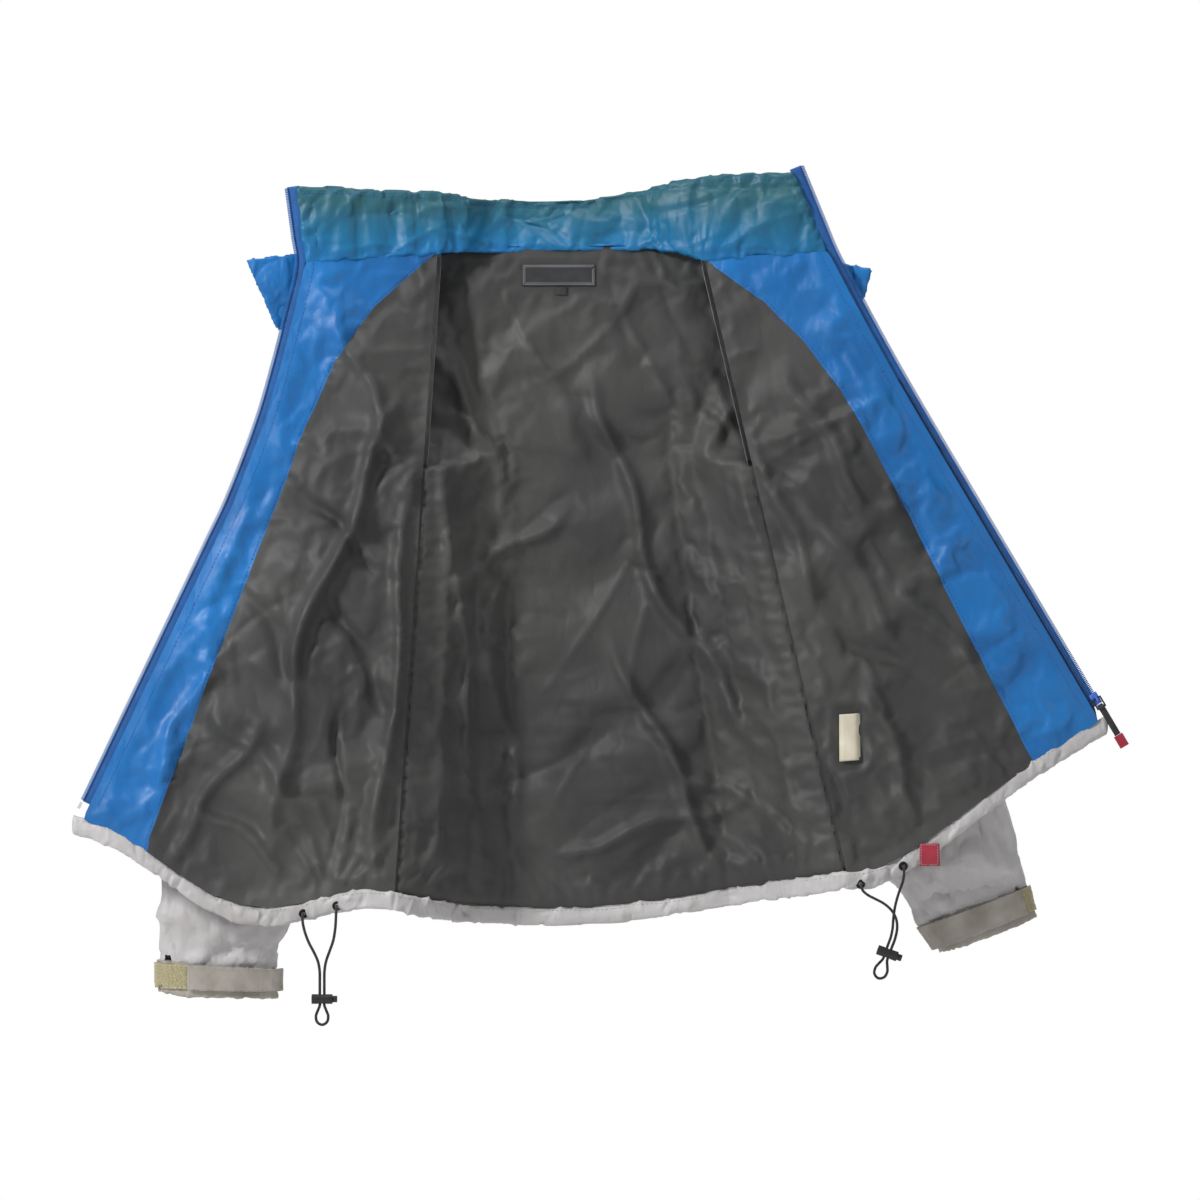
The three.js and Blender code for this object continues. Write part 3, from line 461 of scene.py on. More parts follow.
def smooth_route(points, per_span=6):
    """Points of the centripetal curve through a route."""
    knots = [Vector(point) for point in points]
    knots = [2 * knots[0] - knots[1], *knots, 2 * knots[-1] - knots[-2]]
    line = []
    for a, b, c, d in zip(knots, knots[1:], knots[2:], knots[3:]):
        gaps = [math.sqrt((q - p).length) for p, q in ((a, b), (b, c), (c, d))]
        slope_b = (b - a) / gaps[0] - (c - a) / (gaps[0] + gaps[1]) + (c - b) / gaps[1]
        slope_c = (c - b) / gaps[1] - (d - b) / (gaps[1] + gaps[2]) + (d - c) / gaps[2]
        m0, m1 = slope_b * gaps[1], slope_c * gaps[1]
        for i in range(per_span):
            t = i / per_span
            line.append(
                b * (2 * t**3 - 3 * t**2 + 1) + m0 * (t**3 - 2 * t**2 + t)
                + c * (3 * t**2 - 2 * t**3) + m1 * (t**3 - t**2)
            )
    return [*line, Vector(points[-1])]


def line_length(line):
    return sum((b - a).length for a, b in zip(line, line[1:]))


def drawcord(side):
    """Limp elastic cord from one eyelet, through its lock and round a loop, to the other eyelet."""
    line = smooth_route(DRAWCORDS[side])
    data = bpy.data.curves.new(f"elastic_{side}", "CURVE")
    data.dimensions = "3D"
    data.bevel_depth = CORD_DIAMETER / 2
    data.bevel_resolution = 3
    data.use_fill_caps = True
    spline = data.splines.new("POLY")
    spline.points.add(len(line) - 1)
    for point, place in zip(spline.points, line):
        point.co = (*place, 1)
    data.materials.append(MATERIALS["cord"])
    piece = bpy.data.objects.new(f"elastic_{side}", data)
    bpy.context.scene.collection.objects.link(piece)
    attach(piece, f"front_{side}")
    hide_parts(f"drawcord_{side}")


for side in SIDES:
    drawcord(side)

# ---------------------------------------------------------------- meshes from the CAD nodes


def joined(names):
    """The meshes of CAD nodes in one bmesh, with shared points merged."""
    mesh = bmesh.new()
    for name in names:
        mesh.from_mesh(NODES[name].data)
    bmesh.ops.remove_doubles(mesh, verts=mesh.verts, dist=1e-5)
    mesh.normal_update()
    return mesh


def bmesh_of(piece):
    """A copy of a piece's mesh, open for work."""
    mesh = bmesh.new()
    mesh.from_mesh(piece.data)
    return mesh


def skin(node):
    """The faces of a CAD node that look towards the open front of the jacket."""
    mesh = joined([node])
    away = [face for face in mesh.faces if face.normal.y > -0.35]
    bmesh.ops.delete(mesh, geom=away, context="FACES")
    return mesh


def outline(mesh):
    """Points round the longest open edge of a mesh, in order."""
    after = {}
    for edge in mesh.edges:
        if edge.is_boundary:
            for vert in edge.verts:
                after.setdefault(vert, []).append(edge.other_vert(vert))
    loops = []
    while after:
        start = here = next(iter(after))
        loop = [start]
        while True:
            ways = [vert for vert in after[here] if vert in after and vert not in loop]
            if not ways:
                break
            here = ways[0]
            loop.append(here)
        for vert in loop:
            after.pop(vert)
        loops.append(loop)
    return [vert.co.copy() for vert in max(loops, key=len)]


def divided(points, step):
    """The same closed line with points about a step apart."""
    line = []
    for a, b in zip(points, [*points[1:], points[0]]):
        count = max(1, round((b - a).length / step))
        line += [a.lerp(b, i / count) for i in range(count)]
    return line


def flat_array(points):
    return np.array([(p.x, p.z) for p in points])


def away_from_line(places, line, closed=True):
    """Distance in the XZ plane from each place to a line of points."""
    starts = line
    ends = np.roll(line, -1, axis=0)
    if not closed:
        starts, ends = starts[:-1], ends[:-1]
    best = np.full(len(places), 9.0)
    for a, b in zip(starts, ends):
        along = b - a
        share = np.clip((places - a) @ along / max(along @ along, 1e-12), 0, 1)
        best = np.minimum(best, np.linalg.norm(places - a - share[:, None] * along, axis=1))
    return best


def inside(places, line):
    """Which places lie inside a closed line in the XZ plane."""
    found = np.zeros(len(places), bool)
    for (ax, az), (bx, bz) in zip(line, np.roll(line, -1, axis=0)):
        if az == bz:
            continue
        crosses = (az > places[:, 1]) != (bz > places[:, 1])
        found ^= crosses & (places[:, 0] < (bx - ax) * (places[:, 1] - az) / (bz - az) + ax)
    return found


def coordinates(piece):
    flat = np.zeros(len(piece.data.vertices) * 3)
    piece.data.vertices.foreach_get("co", flat)
    return flat.reshape(-1, 3)


def set_coordinates(piece, points):
    piece.data.vertices.foreach_set("co", np.asarray(points, np.float32).ravel())
    piece.data.update()


def normals(piece):
    flat = np.zeros(len(piece.data.vertices) * 3)
    piece.data.vertex_normals.foreach_get("vector", flat)
    return flat.reshape(-1, 3)


def shade_smooth(data):
    data.polygons.foreach_set("use_smooth", [True] * len(data.polygons))


def new_piece(name, mesh, material):
    """Object from a bmesh, smooth shaded."""
    data = bpy.data.meshes.new(name)
    mesh.to_mesh(data)
    mesh.free()
    data.materials.append(MATERIALS[material])
    shade_smooth(data)
    piece = bpy.data.objects.new(name, data)
    bpy.context.scene.collection.objects.link(piece)
    return piece


def smoothstep(values, low, high):
    share = np.clip((values - low) / (high - low), 0, 1)
    return share * share * (3 - 2 * share)


def depth_at(surface, x, z):
    """Depth of a surface at a place, or just beside it where the place lies on its border."""
    for reach in (0, 0.0003, 0.001, 0.003):
        for turn in range(8):
            angle = turn * math.pi / 4
            start = Vector((x + reach * math.cos(angle), -1, z + reach * math.sin(angle)))
            hit = surface.ray_cast(start, Vector((0, 1, 0)))[0]
            if hit is not None:
                return hit.y
    return surface.find_nearest(Vector((x, 0, z)))[0].y


def sheet_mesh(whole, part, step=SHEET_STEP):
    """Even triangles over the near skin of one CAD node, with a seam round another node on it.

    Returns a bmesh whose faces have material index 1 inside the part.
    """
    near = skin(whole)
    surface = BVHTree.FromBMesh(near)
    border = divided(outline(near), step)
    rim = flat_array(border)
    low, high = rim.min(0), rim.max(0)
    rows = np.arange(low[1], high[1], step * math.sqrt(0.75))
    grid = np.array([
        (x + (step / 2 if i % 2 else 0), z)
        for i, z in enumerate(rows) for x in np.arange(low[0], high[0], step)
    ])
    grid = grid[inside(grid, rim)]
    grid = grid[away_from_line(grid, rim) > 0.62 * step]
    points = [Vector(p) for p in rim]
    edges = []
    patch = None
    if part:
        piece = skin(part)
        patch = flat_array(divided(outline(piece), step))
        piece.free()
        seam = [Vector(p) for p, d in zip(patch, away_from_line(patch, rim)) if d > 0.35 * step]
        gaps = [(b - a).length for a, b in zip(seam, seam[1:] + seam[:1])]
        turn = (gaps.index(max(gaps)) + 1) % len(seam)
        seam = seam[turn:] + seam[:turn]
        seam = [seam[0] * 1.8 - seam[1] * 0.8, *seam, seam[-1] * 1.8 - seam[-2] * 0.8]
        for end in (0, -1):
            distances = np.linalg.norm(rim - np.array(seam[end]), axis=1)
            seam[end] = points[int(distances.argmin())].copy()
        grid = grid[away_from_line(grid, np.array(seam), closed=False) > 0.62 * step]
        first = len(points)
        points += seam
        edges = [(first + i, first + i + 1) for i in range(len(seam) - 1)]
    points += [Vector(p) for p in grid]
    made, _, triangles, *_ = geometry.delaunay_2d_cdt(
        points, edges, [list(range(len(rim)))], 1, 1e-5
    )
    mesh = bmesh.new()
    for x, z in made:
        mesh.verts.new((x, depth_at(surface, x, z) - LINING_TO_PADDING, z))
    mesh.verts.ensure_lookup_table()
    for corners in triangles:
        face = mesh.faces.new([mesh.verts[i] for i in corners])
        face.normal_update()
        if face.normal.y > 0:
            face.normal_flip()
    if patch is not None:
        centres = flat_array([face.calc_center_median() for face in mesh.faces])
        for face, belongs in zip(mesh.faces, inside(centres, patch)):
            face.material_index = int(belongs)
    loose = [vert for vert in mesh.verts if not vert.link_faces]
    bmesh.ops.delete(mesh, geom=loose, context="VERTS")
    near.free()
    return mesh


def remeshed(name, nodes, voxel, material, rounds=4):
    """The union of CAD nodes as one evenly meshed closed body, smoothed by a few rounds."""
    piece = new_piece(name, joined(nodes), material)
    modifier = piece.modifiers.new("even", "REMESH")
    modifier.mode = "VOXEL"
    modifier.voxel_size = voxel
    modifier.use_smooth_shade = True
    rounding = piece.modifiers.new("round", "SMOOTH")
    rounding.factor = 0.5
    rounding.iterations = rounds
    apply_modifiers(piece)
    return piece


def apply_modifiers(piece):
    """Replaces a piece's mesh by its evaluated one."""
    graph = bpy.context.evaluated_depsgraph_get()
    data = bpy.data.meshes.new_from_object(piece.evaluated_get(graph))
    data.name = piece.name
    piece.modifiers.clear()
    piece.data = data
    shade_smooth(data)


def finer(piece, smooth=0.6):
    """Splits every face in four, on a smooth surface."""
    mesh = bmesh_of(piece)
    bmesh.ops.subdivide_edges(mesh, edges=mesh.edges, cuts=1, smooth=smooth, use_grid_fill=True)
    mesh.to_mesh(piece.data)
    mesh.free()
    shade_smooth(piece.data)


# ---------------------------------------------------------------- cloth

UNEVEN_START = 0.0008  # how far a sheet is pushed out of its plane before it is let go


def simulate(piece, pins, grow, pressure=0.0, cap=0.012, frames=18, bend=0.4):
    """Lets a piece's cloth grow by a share, so that it wrinkles, and blows it up by a pressure.

    pins holds each point by 0 to 1. The result is applied, and no point moves further than cap.
    """
    rest = coordinates(piece)
    start = rest + normals(piece) * (wander(rest, 0.045, 3) * UNEVEN_START * (1 - pins))[:, None]
    set_coordinates(piece, start)
    group = piece.vertex_groups.new(name="held")
    for index in np.nonzero(pins > 0.01)[0]:
        group.add([int(index)], float(pins[index]), "REPLACE")
    modifier = piece.modifiers.new("cloth", "CLOTH")
    cloth = modifier.settings
    cloth.quality = 4
    cloth.mass = 0.12
    cloth.tension_stiffness = cloth.compression_stiffness = 18
    cloth.shear_stiffness = 6
    cloth.bending_stiffness = bend
    cloth.air_damping = 4
    cloth.vertex_group_mass = "held"
    cloth.pin_stiffness = 2
    cloth.shrink_min = -grow
    cloth.effector_weights.gravity = 0
    cloth.use_pressure = pressure > 0
    cloth.uniform_pressure_force = pressure
    modifier.collision_settings.use_collision = False
    modifier.point_cache.frame_start = 1
    modifier.point_cache.frame_end = frames
    scene = bpy.context.scene
    for frame_number in range(1, frames + 1):
        scene.frame_set(frame_number)
    graph = bpy.context.evaluated_depsgraph_get()
    data = piece.evaluated_get(graph).data
    flat = np.zeros(len(data.vertices) * 3)
    data.vertices.foreach_get("co", flat)
    piece.modifiers.clear()
    piece.vertex_groups.clear()
    scene.frame_set(1)
    shift = flat.reshape(-1, 3) - rest
    size = np.linalg.norm(shift, axis=1, keepdims=True)
    limit = cap * np.tanh(size / cap)
    set_coordinates(piece, rest + shift * limit / np.maximum(size, 1e-9))


def wander(points, size, seed):
    """Smooth noise from -1 to 1 with features of about a size, from a few crossing waves."""
    draws = np.random.default_rng(seed)
    total = np.zeros(len(points))
    for _ in range(14):
        way = draws.normal(size=3)
        way /= np.linalg.norm(way)
        pitch = size * draws.uniform(0.7, 1.8)
        total += np.sin(2 * math.pi * (points @ way) / pitch + draws.uniform(0, 2 * math.pi))
    return total / 14**0.5 / 1.4


def creases(points, seed, count, slant, spread, length=(0.04, 0.15), width=(0.003, 0.006),
            depth=(0.0008, 0.0024)):
    """Sharp short ridges and grooves at seeded places, lying about a slant in the XZ plane."""
    draws = np.random.default_rng(seed)
    flat = points[:, [0, 2]]
    low, high = flat.min(0), flat.max(0)
    total = np.zeros(len(points))
    for _ in range(count):
        centre = draws.uniform(low, high)
        angle = math.radians(slant + draws.normal(0, spread))
        along = np.array((math.cos(angle), math.sin(angle)))
        half = draws.uniform(*length) / 2
        breadth = draws.uniform(*width)
        rise = draws.uniform(*depth) * draws.choice((-1, 1))
        bow = draws.normal(0, 0.12) / half
        place = flat - centre
        run = place @ along
        off = place @ np.array((-along[1], along[0])) - bow * run**2
        fade = np.clip(1 - (run / half) ** 2, 0, 1)
        total += rise * np.exp(-np.abs(off) / breadth) * fade
    return total


def folds(points, lines, low, high):
    """Long soft folds: each has its ends as shares across and down a box, a width and a rise."""
    flat = points[:, [0, 2]]
    total = np.zeros(len(points))
    for (u0, v0), (u1, v1), width, rise in lines:
        a = np.array((low.x + u0 * (high.x - low.x), high.z - v0 * (high.z - low.z)))
        b = np.array((low.x + u1 * (high.x - low.x), high.z - v1 * (high.z - low.z)))
        span = np.linalg.norm(b - a)
        along = (b - a) / span
        run = (flat - a) @ along / span
        off = (flat - a) @ np.array((-along[1], along[0]))
        off = off + 0.006 * np.sin(9 * run + 40 * width)
        fade = smoothstep(run, -0.12, 0.2) * (1 - smoothstep(run, 0.8, 1.12))
        total += rise * fade * np.exp(-(off / width) ** 2)
    return total


def held_at(distances, width):
    """Pin weights that fall from 1 at a line to 0 at a width away."""
    return np.clip(1 - distances / width, 0, 1)


def parted(piece, names, materials):
    """Splits a piece by its faces' material indexes into pieces that share their seam."""
    made = []
    for index, (name, material) in enumerate(zip(names, materials)):
        mesh = bmesh_of(piece)
        others = [face for face in mesh.faces if face.material_index != index]
        bmesh.ops.delete(mesh, geom=others, context="FACES")
        for face in mesh.faces:
            face.material_index = 0
        made.append(new_piece(name, mesh, material))
    bpy.data.objects.remove(piece)
    return made


def cut_at(piece, names, planes, materials):
    """Splits a piece by planes, each (point, normal), from left to right."""
    made = []
    for index, (name, material) in enumerate(zip(names, materials)):
        mesh = bmesh_of(piece)
        limits = []
        if index > 0:
            limits.append((planes[index - 1], True))
        if index < len(planes):
            limits.append((planes[index], False))
        for (place, normal), keep_outer in limits:
            bmesh.ops.bisect_plane(
                mesh, geom=[*mesh.verts, *mesh.edges, *mesh.faces], dist=1e-6, plane_co=place,
                plane_no=normal, clear_inner=keep_outer, clear_outer=not keep_outer,
            )
        made.append(new_piece(name, mesh, material))
    bpy.data.objects.remove(piece)
    return made


def fold_line(side):
    """A point on the fold line of a side, the line's direction, and the way out from the body."""
    joint = JOINTS[f"front_{side}_swing"]
    place = Vector(joint["pos_m"])
    along = Vector(joint["axis"]).normalized()
    out = along.cross(Vector((0, 1, 0))).normalized() * SIDES[side]
    if out.x * SIDES[side] < 0:
        out = -out
    return place, along, out


def across_fold(piece):
    """Bakes the piece's placement into its mesh and leaves it on no body."""
    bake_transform(piece)


def rides(body):
    """A way to hold pieces: they move with one body."""
    return lambda made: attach(made, body)


def follows(part):
    """A way to hold pieces of the left, back or right part: on the back they ride the root, elsewhere
    their placement is baked into the mesh.
    """
    if part == "back":
        return rides("root")
    return lambda made: across_fold(made)


def declared(piece, hold, nodes):
    """Holds a piece in the given way and hides the CAD nodes it stands for."""
    hold(piece)
    if nodes:
        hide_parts(*nodes)


def fold_parts(body, name, material):
    """Cuts a padded body at the fold lines into left, back and right pieces."""
    names = [f"nylon_{name}_{part}" for part in PARTS]
    for piece, part in zip(cut_at(body, names, FOLD_PLANES, [material] * 3), PARTS):
        declared(piece, follows(part), [f"{name}_{part}"])


FOLD_PLANES = [(fold_line(side)[0], fold_line(side)[2] * SIDES[side]) for side in SIDES]

# ---------------------------------------------------------------- linings and facings


def from_node(points, node):
    """Distance in the XZ plane from each point to a CAD node's near skin outline."""
    near = skin(node)
    line = flat_array(outline(near))
    near.free()
    return away_from_line(points[:, [0, 2]], line)


def sewn_to_zip(points, side, width):
    """Share by which each point is drawn to the zip tape: 1 at the tape, 0 a width away."""
    return 1 - smoothstep(from_node(points, f"zip_tape_{side}"), 0.002, width)


def open_border(piece):
    """Distance of each point from the open border of a piece."""
    mesh = bmesh_of(piece)
    line = flat_array(outline(mesh))
    mesh.free()
    return away_from_line(coordinates(piece)[:, [0, 2]], line)


def tucked(piece, reach, depth, up=None):
    """Pushes the open border of a sheet outwards by a reach, and back under its neighbours.

    Where the border faces up, it moves by the reach called up, if one is given.
    """
    mesh = bmesh_of(piece)
    mesh.verts.ensure_lookup_table()
    for vert in [vert for vert in mesh.verts if vert.is_boundary]:
        a, b = (edge.other_vert(vert).co for edge in vert.link_edges if edge.is_boundary)
        along = (b - a).normalized()
        out = Vector((along.z, 0, -along.x))
        inner = sum((face.calc_center_median() for face in vert.link_faces), Vector())
        if out.dot(vert.co - inner / len(vert.link_faces)) < 0:
            out = -out
        far = up if up and out.z > 0.5 else reach
        piece.data.vertices[vert.index].co = vert.co + out * far + Vector((0, depth, 0))
    mesh.free()
    piece.data.update()


def calm(points, nodes, margin=0.014):
    """0 where labels are sewn on, and 1 from a margin away from them."""
    free = np.ones(len(points))
    for node in nodes:
        low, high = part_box(node)
        off = [
            np.maximum(np.maximum(low[axis] - points[:, axis], points[:, axis] - high[axis]), 0)
            for axis in (0, 2)
        ]
        free = np.minimum(free, smoothstep(np.hypot(*off), 0.001, margin))
    return free


def wrinkle(piece, rest, lines, random_creases, fans, nodes=(), edge=0.01):
    """Long folds, sharp creases and soft unevenness, which all die away at the border.

    rest holds each point's depth before any wrinkling; nothing goes further behind it than DIP.
    """
    points = coordinates(piece)
    low, high = Vector(points.min(0)), Vector(points.max(0))
    rise = folds(points, lines, low, high) + wander(points, 0.12, 11) * 0.0042
    rise += wander(points, 0.05, 12) * 0.0013
    rise += fan_folds(points, fans, low, high)
    for settings in random_creases:
        rise += creases(points, **settings)
    rise *= smoothstep(open_border(piece), 0, edge)
    shift = (points[:, 1] - rest - rise) * calm(points, nodes)
    points[:, 1] = rest + np.where(shift > 0, DIP * np.tanh(shift / DIP), shift)
    set_coordinates(piece, points)


def fan_folds(points, fans, low, high):
    """Folds that spread from a place where the cloth is drawn together.

    Each fan has its centre as shares of the box, its first and last angle, a count, a length and
    a rise.
    """
    total = np.zeros(len(points))
    for (u, v), (first, last), count, length, rise in fans:
        centre = np.array((low.x + u * (high.x - low.x), high.z - v * (high.z - low.z)))
        offset = points[:, [0, 2]] - centre
        radius = np.linalg.norm(offset, axis=1)
        angle = np.degrees(np.arctan2(offset[:, 1], offset[:, 0])) % 360
        share = (angle - first) / (last - first)
        within = smoothstep(share, -0.04, 0.1) * (1 - smoothstep(share, 0.9, 1.04))
        wave = 1 - np.abs(np.sin(math.pi * count * share + 1.5 * np.sin(radius * 30)))
        fade = smoothstep(radius, 0.004, 0.04) * (1 - smoothstep(radius, 0.3 * length, length))
        total += rise * wave * within * fade
    return total


def on_fold_line(piece, side):
    """Moves the border points that lie along a side's fold line exactly onto it."""
    place, along, _ = fold_line(side)
    points = coordinates(piece)
    offset = points - np.array(place)
    run = offset @ np.array(along)
    across = offset - run[:, None] * np.array(along)
    near = (np.linalg.norm(across, axis=1) < 0.009) & (open_border(piece) < 0.0005)
    points[near] = np.array(place) + run[near][:, None] * np.array(along)
    set_coordinates(piece, points)


BACK_FOLDS = [
    ((0.1, 0.18), (0.07, 0.98), 0.012, 0.012), ((0.2, 0.3), (0.27, 0.9), 0.008, 0.01),
    ((0.34, 0.3), (0.28, 0.66), 0.01, 0.008), ((0.3, 0.6), (0.35, 0.97), 0.009, 0.009),
    ((0.5, 0.2), (0.64, 0.54), 0.008, 0.011), ((0.62, 0.5), (0.84, 0.76), 0.009, 0.012),
    ((0.7, 0.3), (0.88, 0.66), 0.01, -0.012), ((0.8, 0.34), (0.97, 0.72), 0.008, 0.013),
    ((0.42, 0.78), (0.68, 0.66), 0.012, -0.007), ((0.44, 0.92), (0.8, 0.84), 0.007, 0.008),
    ((0.54, 0.6), (0.76, 0.95), 0.008, 0.01), ((0.2, 0.52), (0.44, 0.4), 0.008, 0.008),
    ((0.12, 0.1), (0.3, 0.3), 0.01, 0.009), ((0.86, 0.1), (0.72, 0.34), 0.01, 0.009),
    ((0.36, 0.12), (0.5, 0.34), 0.012, 0.005), ((0.66, 0.78), (0.94, 0.9), 0.008, 0.009),
]
LEFT_FOLDS = [
    ((0.88, 0.24), (0.6, 0.62), 0.008, 0.015), ((0.93, 0.36), (0.83, 0.97), 0.008, 0.014),
    ((0.98, 0.3), (0.96, 0.74), 0.007, 0.011), ((0.62, 0.56), (0.53, 0.93), 0.01, 0.011),
    ((0.56, 0.34), (0.86, 0.5), 0.008, -0.009), ((0.36, 0.7), (0.64, 0.86), 0.009, 0.01),
    ((0.3, 0.84), (0.6, 0.96), 0.008, 0.009), ((0.7, 0.52), (0.88, 0.72), 0.008, -0.01),
    ((0.72, 0.1), (0.9, 0.32), 0.008, 0.009), ((0.42, 0.48), (0.62, 0.68), 0.009, -0.008),
    ((0.73, 0.7), (0.71, 0.99), 0.004, -0.007), ((0.16, 0.86), (0.36, 0.6), 0.009, 0.008),
    ((0.5, 0.2), (0.34, 0.6), 0.01, 0.007), ((0.22, 0.94), (0.5, 0.72), 0.008, 0.008),
]
RIGHT_FOLDS = [
    ((0.04, 0.14), (0.13, 0.52), 0.008, 0.012), ((0.07, 0.48), (0.36, 0.97), 0.008, 0.012),
    ((0.12, 0.3), (0.32, 0.62), 0.009, 0.01), ((0.24, 0.38), (0.54, 0.68), 0.01, 0.009),
    ((0.34, 0.62), (0.68, 0.74), 0.009, -0.008), ((0.3, 0.78), (0.36, 0.99), 0.004, -0.008),
    ((0.42, 0.7), (0.54, 0.92), 0.008, 0.009), ((0.2, 0.18), (0.42, 0.42), 0.008, 0.008),
    ((0.5, 0.54), (0.76, 0.72), 0.008, 0.009), ((0.16, 0.6), (0.21, 0.92), 0.008, -0.01),
    ((0.1, 0.7), (0.26, 0.98), 0.007, 0.009), ((0.36, 0.3), (0.56, 0.5), 0.01, 0.006),
]


def long_creases(seed, count, slant, spread=22):
    return {
        "seed": seed, "count": count, "slant": slant, "spread": spread, "length": (0.1, 0.3),
        "width": (0.003, 0.008), "depth": (0.0015, 0.005),
    }


def short_creases(seed, count, slant, spread=30):
    return {"seed": seed, "count": count, "slant": slant, "spread": spread}


def back_lining():
    """Lining of the back, hung between the two fold lines."""
    nodes = ("neck_label", "size_tab")
    piece = new_piece("taffeta_back", sheet_mesh("back_insulation", None), "lining")
    rest = flat_rest(piece)
    pins = held_at(open_border(piece), 0.03)
    pins = np.maximum(pins, 1 - calm(coordinates(piece), nodes))
    simulate(piece, pins, grow=0.022, cap=0.01)
    finer(piece)
    wrinkle(piece, rest, BACK_FOLDS, [
        long_creases(21, 26, -52), long_creases(22, 16, 50), short_creases(23, 50, -45),
        short_creases(24, 30, 35),
    ], [
        ((0.1, 1.0), (30, 110), 5, 0.2, 0.004), ((0.9, 1.0), (70, 150), 5, 0.22, 0.004),
    ], nodes, edge=0.022)
    tucked(piece, BACK_TUCK, TUCK)
    declared(piece, rides("root"), ["back_lining"])


def flat_rest(piece):
    """Depth of each point of a piece once it is split finer, before any wrinkling."""
    twin = piece.copy()
    twin.data = piece.data.copy()
    finer(twin)
    rest = coordinates(twin)[:, 1].copy()
    bpy.data.meshes.remove(twin.data)
    return rest


def front_inner(side, lines, slant, seed, fans, nodes=()):
    """Lining and facing of a front, made as one cloth and parted at their seam."""
    cloth = new_piece(
        f"inner_{side}", sheet_mesh(f"front_insulation_{side}", f"facing_{side}"), "lining"
    )
    rest = flat_rest(cloth)
    seam = from_node(coordinates(cloth), f"facing_{side}")
    pins = np.maximum(held_at(open_border(cloth), 0.013), 0.5 * held_at(seam, 0.008))
    pins = np.maximum(pins, 1 - calm(coordinates(cloth), nodes))
    simulate(cloth, pins, grow=0.022, cap=0.01)
    finer(cloth)
    wrinkle(cloth, rest, lines, [
        long_creases(seed, 18, slant), long_creases(seed + 1, 12, slant + 75),
        short_creases(seed + 2, 40, slant), short_creases(seed + 3, 26, slant + 80),
    ], fans, nodes)
    points = coordinates(cloth)
    to_zip = sewn_to_zip(points, side, 0.026)
    risen = points[:, 1] - rest
    points[:, 1] = rest + risen * (1 - to_zip) - np.minimum(to_zip, 0.6) * 0.0022
    seam = from_node(points, f"facing_{side}")
    points[:, 1] += 0.0012 * np.exp(-((seam / 0.003) ** 2))
    set_coordinates(cloth, points)
    tucked(cloth, TUCK, 0)
    on_fold_line(cloth, side)
    lining, facing = parted(
        cloth, [f"taffeta_{side}", f"nylon_facing_{side}"], ["lining", "blue"]
    )
    for piece, node, slot in (
        (lining, f"front_lining_{side}", "lining_grey"), (facing, f"facing_{side}", "shell_blue"),
    ):
        declared(piece, rides(f"front_{side}"), [node])


# ---------------------------------------------------------------- outer shells


def skirted(piece, depths):
    """Closes the sides of a padded panel: its border runs back to given depths."""
    mesh = bmesh_of(piece)
    border = []
    for face in mesh.faces:
        border += [(face, loop) for loop in face.loops if loop.edge.is_boundary]
    ends = {}
    sides = []
    for face, loop in border:
        a, b = loop.vert, loop.link_loop_next.vert
        for vert in (a, b):
            if vert not in ends:
                ends[vert] = (vert.co.x, depths[vert.index], vert.co.z)
        sides.append((a, b, face.material_index))
    lower = {vert: mesh.verts.new(place) for vert, place in ends.items()}
    for a, b, index in sides:
        made = mesh.faces.new((b, a, lower[a], lower[b]))
        made.material_index = index
    mesh.to_mesh(piece.data)
    mesh.free()
    shade_smooth(piece.data)


def outer_sheet(name, whole, part, seed):
    """Cloth over the outside of the padding, puffed out a little, and the depths it rests over."""
    cloth = new_piece(name, sheet_mesh(whole, part, 0.0095), "shell")
    points = coordinates(cloth)
    depths = points[:, 1] + LINING_TO_PADDING
    points[:, 1] += BODY_THICKNESS
    set_coordinates(cloth, points)
    mesh = bmesh_of(cloth)
    bmesh.ops.reverse_faces(mesh, faces=mesh.faces)
    mesh.to_mesh(cloth.data)
    mesh.free()
    simulate(cloth, held_at(open_border(cloth), 0.014), grow=0.04, cap=0.009)
    shift = coordinates(cloth)[:, 1] - points[:, 1]
    points = coordinates(cloth)
    points[:, 1] += np.where(shift < 0, -SHELL_DIP * np.tanh(-shift / SHELL_DIP), shift) - shift
    away = smoothstep(open_border(cloth), 0, 0.03)
    points[:, 1] += (0.003 + 0.0016 * wander(points, 0.1, seed)) * away
    points[:, 1] += creases(points, seed, 50, 30, 40, width=(0.006, 0.01)) * away
    set_coordinates(cloth, points)
    return cloth, depths


def back_shell():
    """Outer back with its blue yoke, over the padding."""
    cloth, depths = outer_sheet("outer_back", "back_insulation", "back_yoke", 31)
    tucked(cloth, TUCK, 0, NECK_REACH)
    skirted(cloth, depths)
    shell, yoke = parted(cloth, ["nylon_back", "nylon_yoke"], ["shell", "blue"])
    for piece, nodes, slot in (
        (shell, ["back_shell", "back_insulation"], "shell_grey"), (yoke, ["back_yoke"], "shell_blue"),
    ):
        declared(piece, rides("root"), nodes)


def front_shell(side, seed):
    """Outer front over its padding, gathered into the zip tape."""
    piece, depths = outer_sheet(f"nylon_front_{side}", f"front_insulation_{side}", None, seed)
    points = coordinates(piece)
    points[:, 1] -= sewn_to_zip(points, side, 0.03) * (BODY_THICKNESS - AT_ZIP_THICKNESS)
    set_coordinates(piece, points)
    tucked(piece, TUCK, 0, NECK_REACH)
    skirted(piece, depths)
    nodes = [f"front_shell_{side}", f"front_insulation_{side}"]
    declared(piece, follows(side), nodes)


# ---------------------------------------------------------------- padded bodies


def rim_pins(piece):
    """1 on the narrow sides of a flat body, 0 on its two faces."""
    return (np.abs(normals(piece)[:, 1]) < 0.55).astype(float)


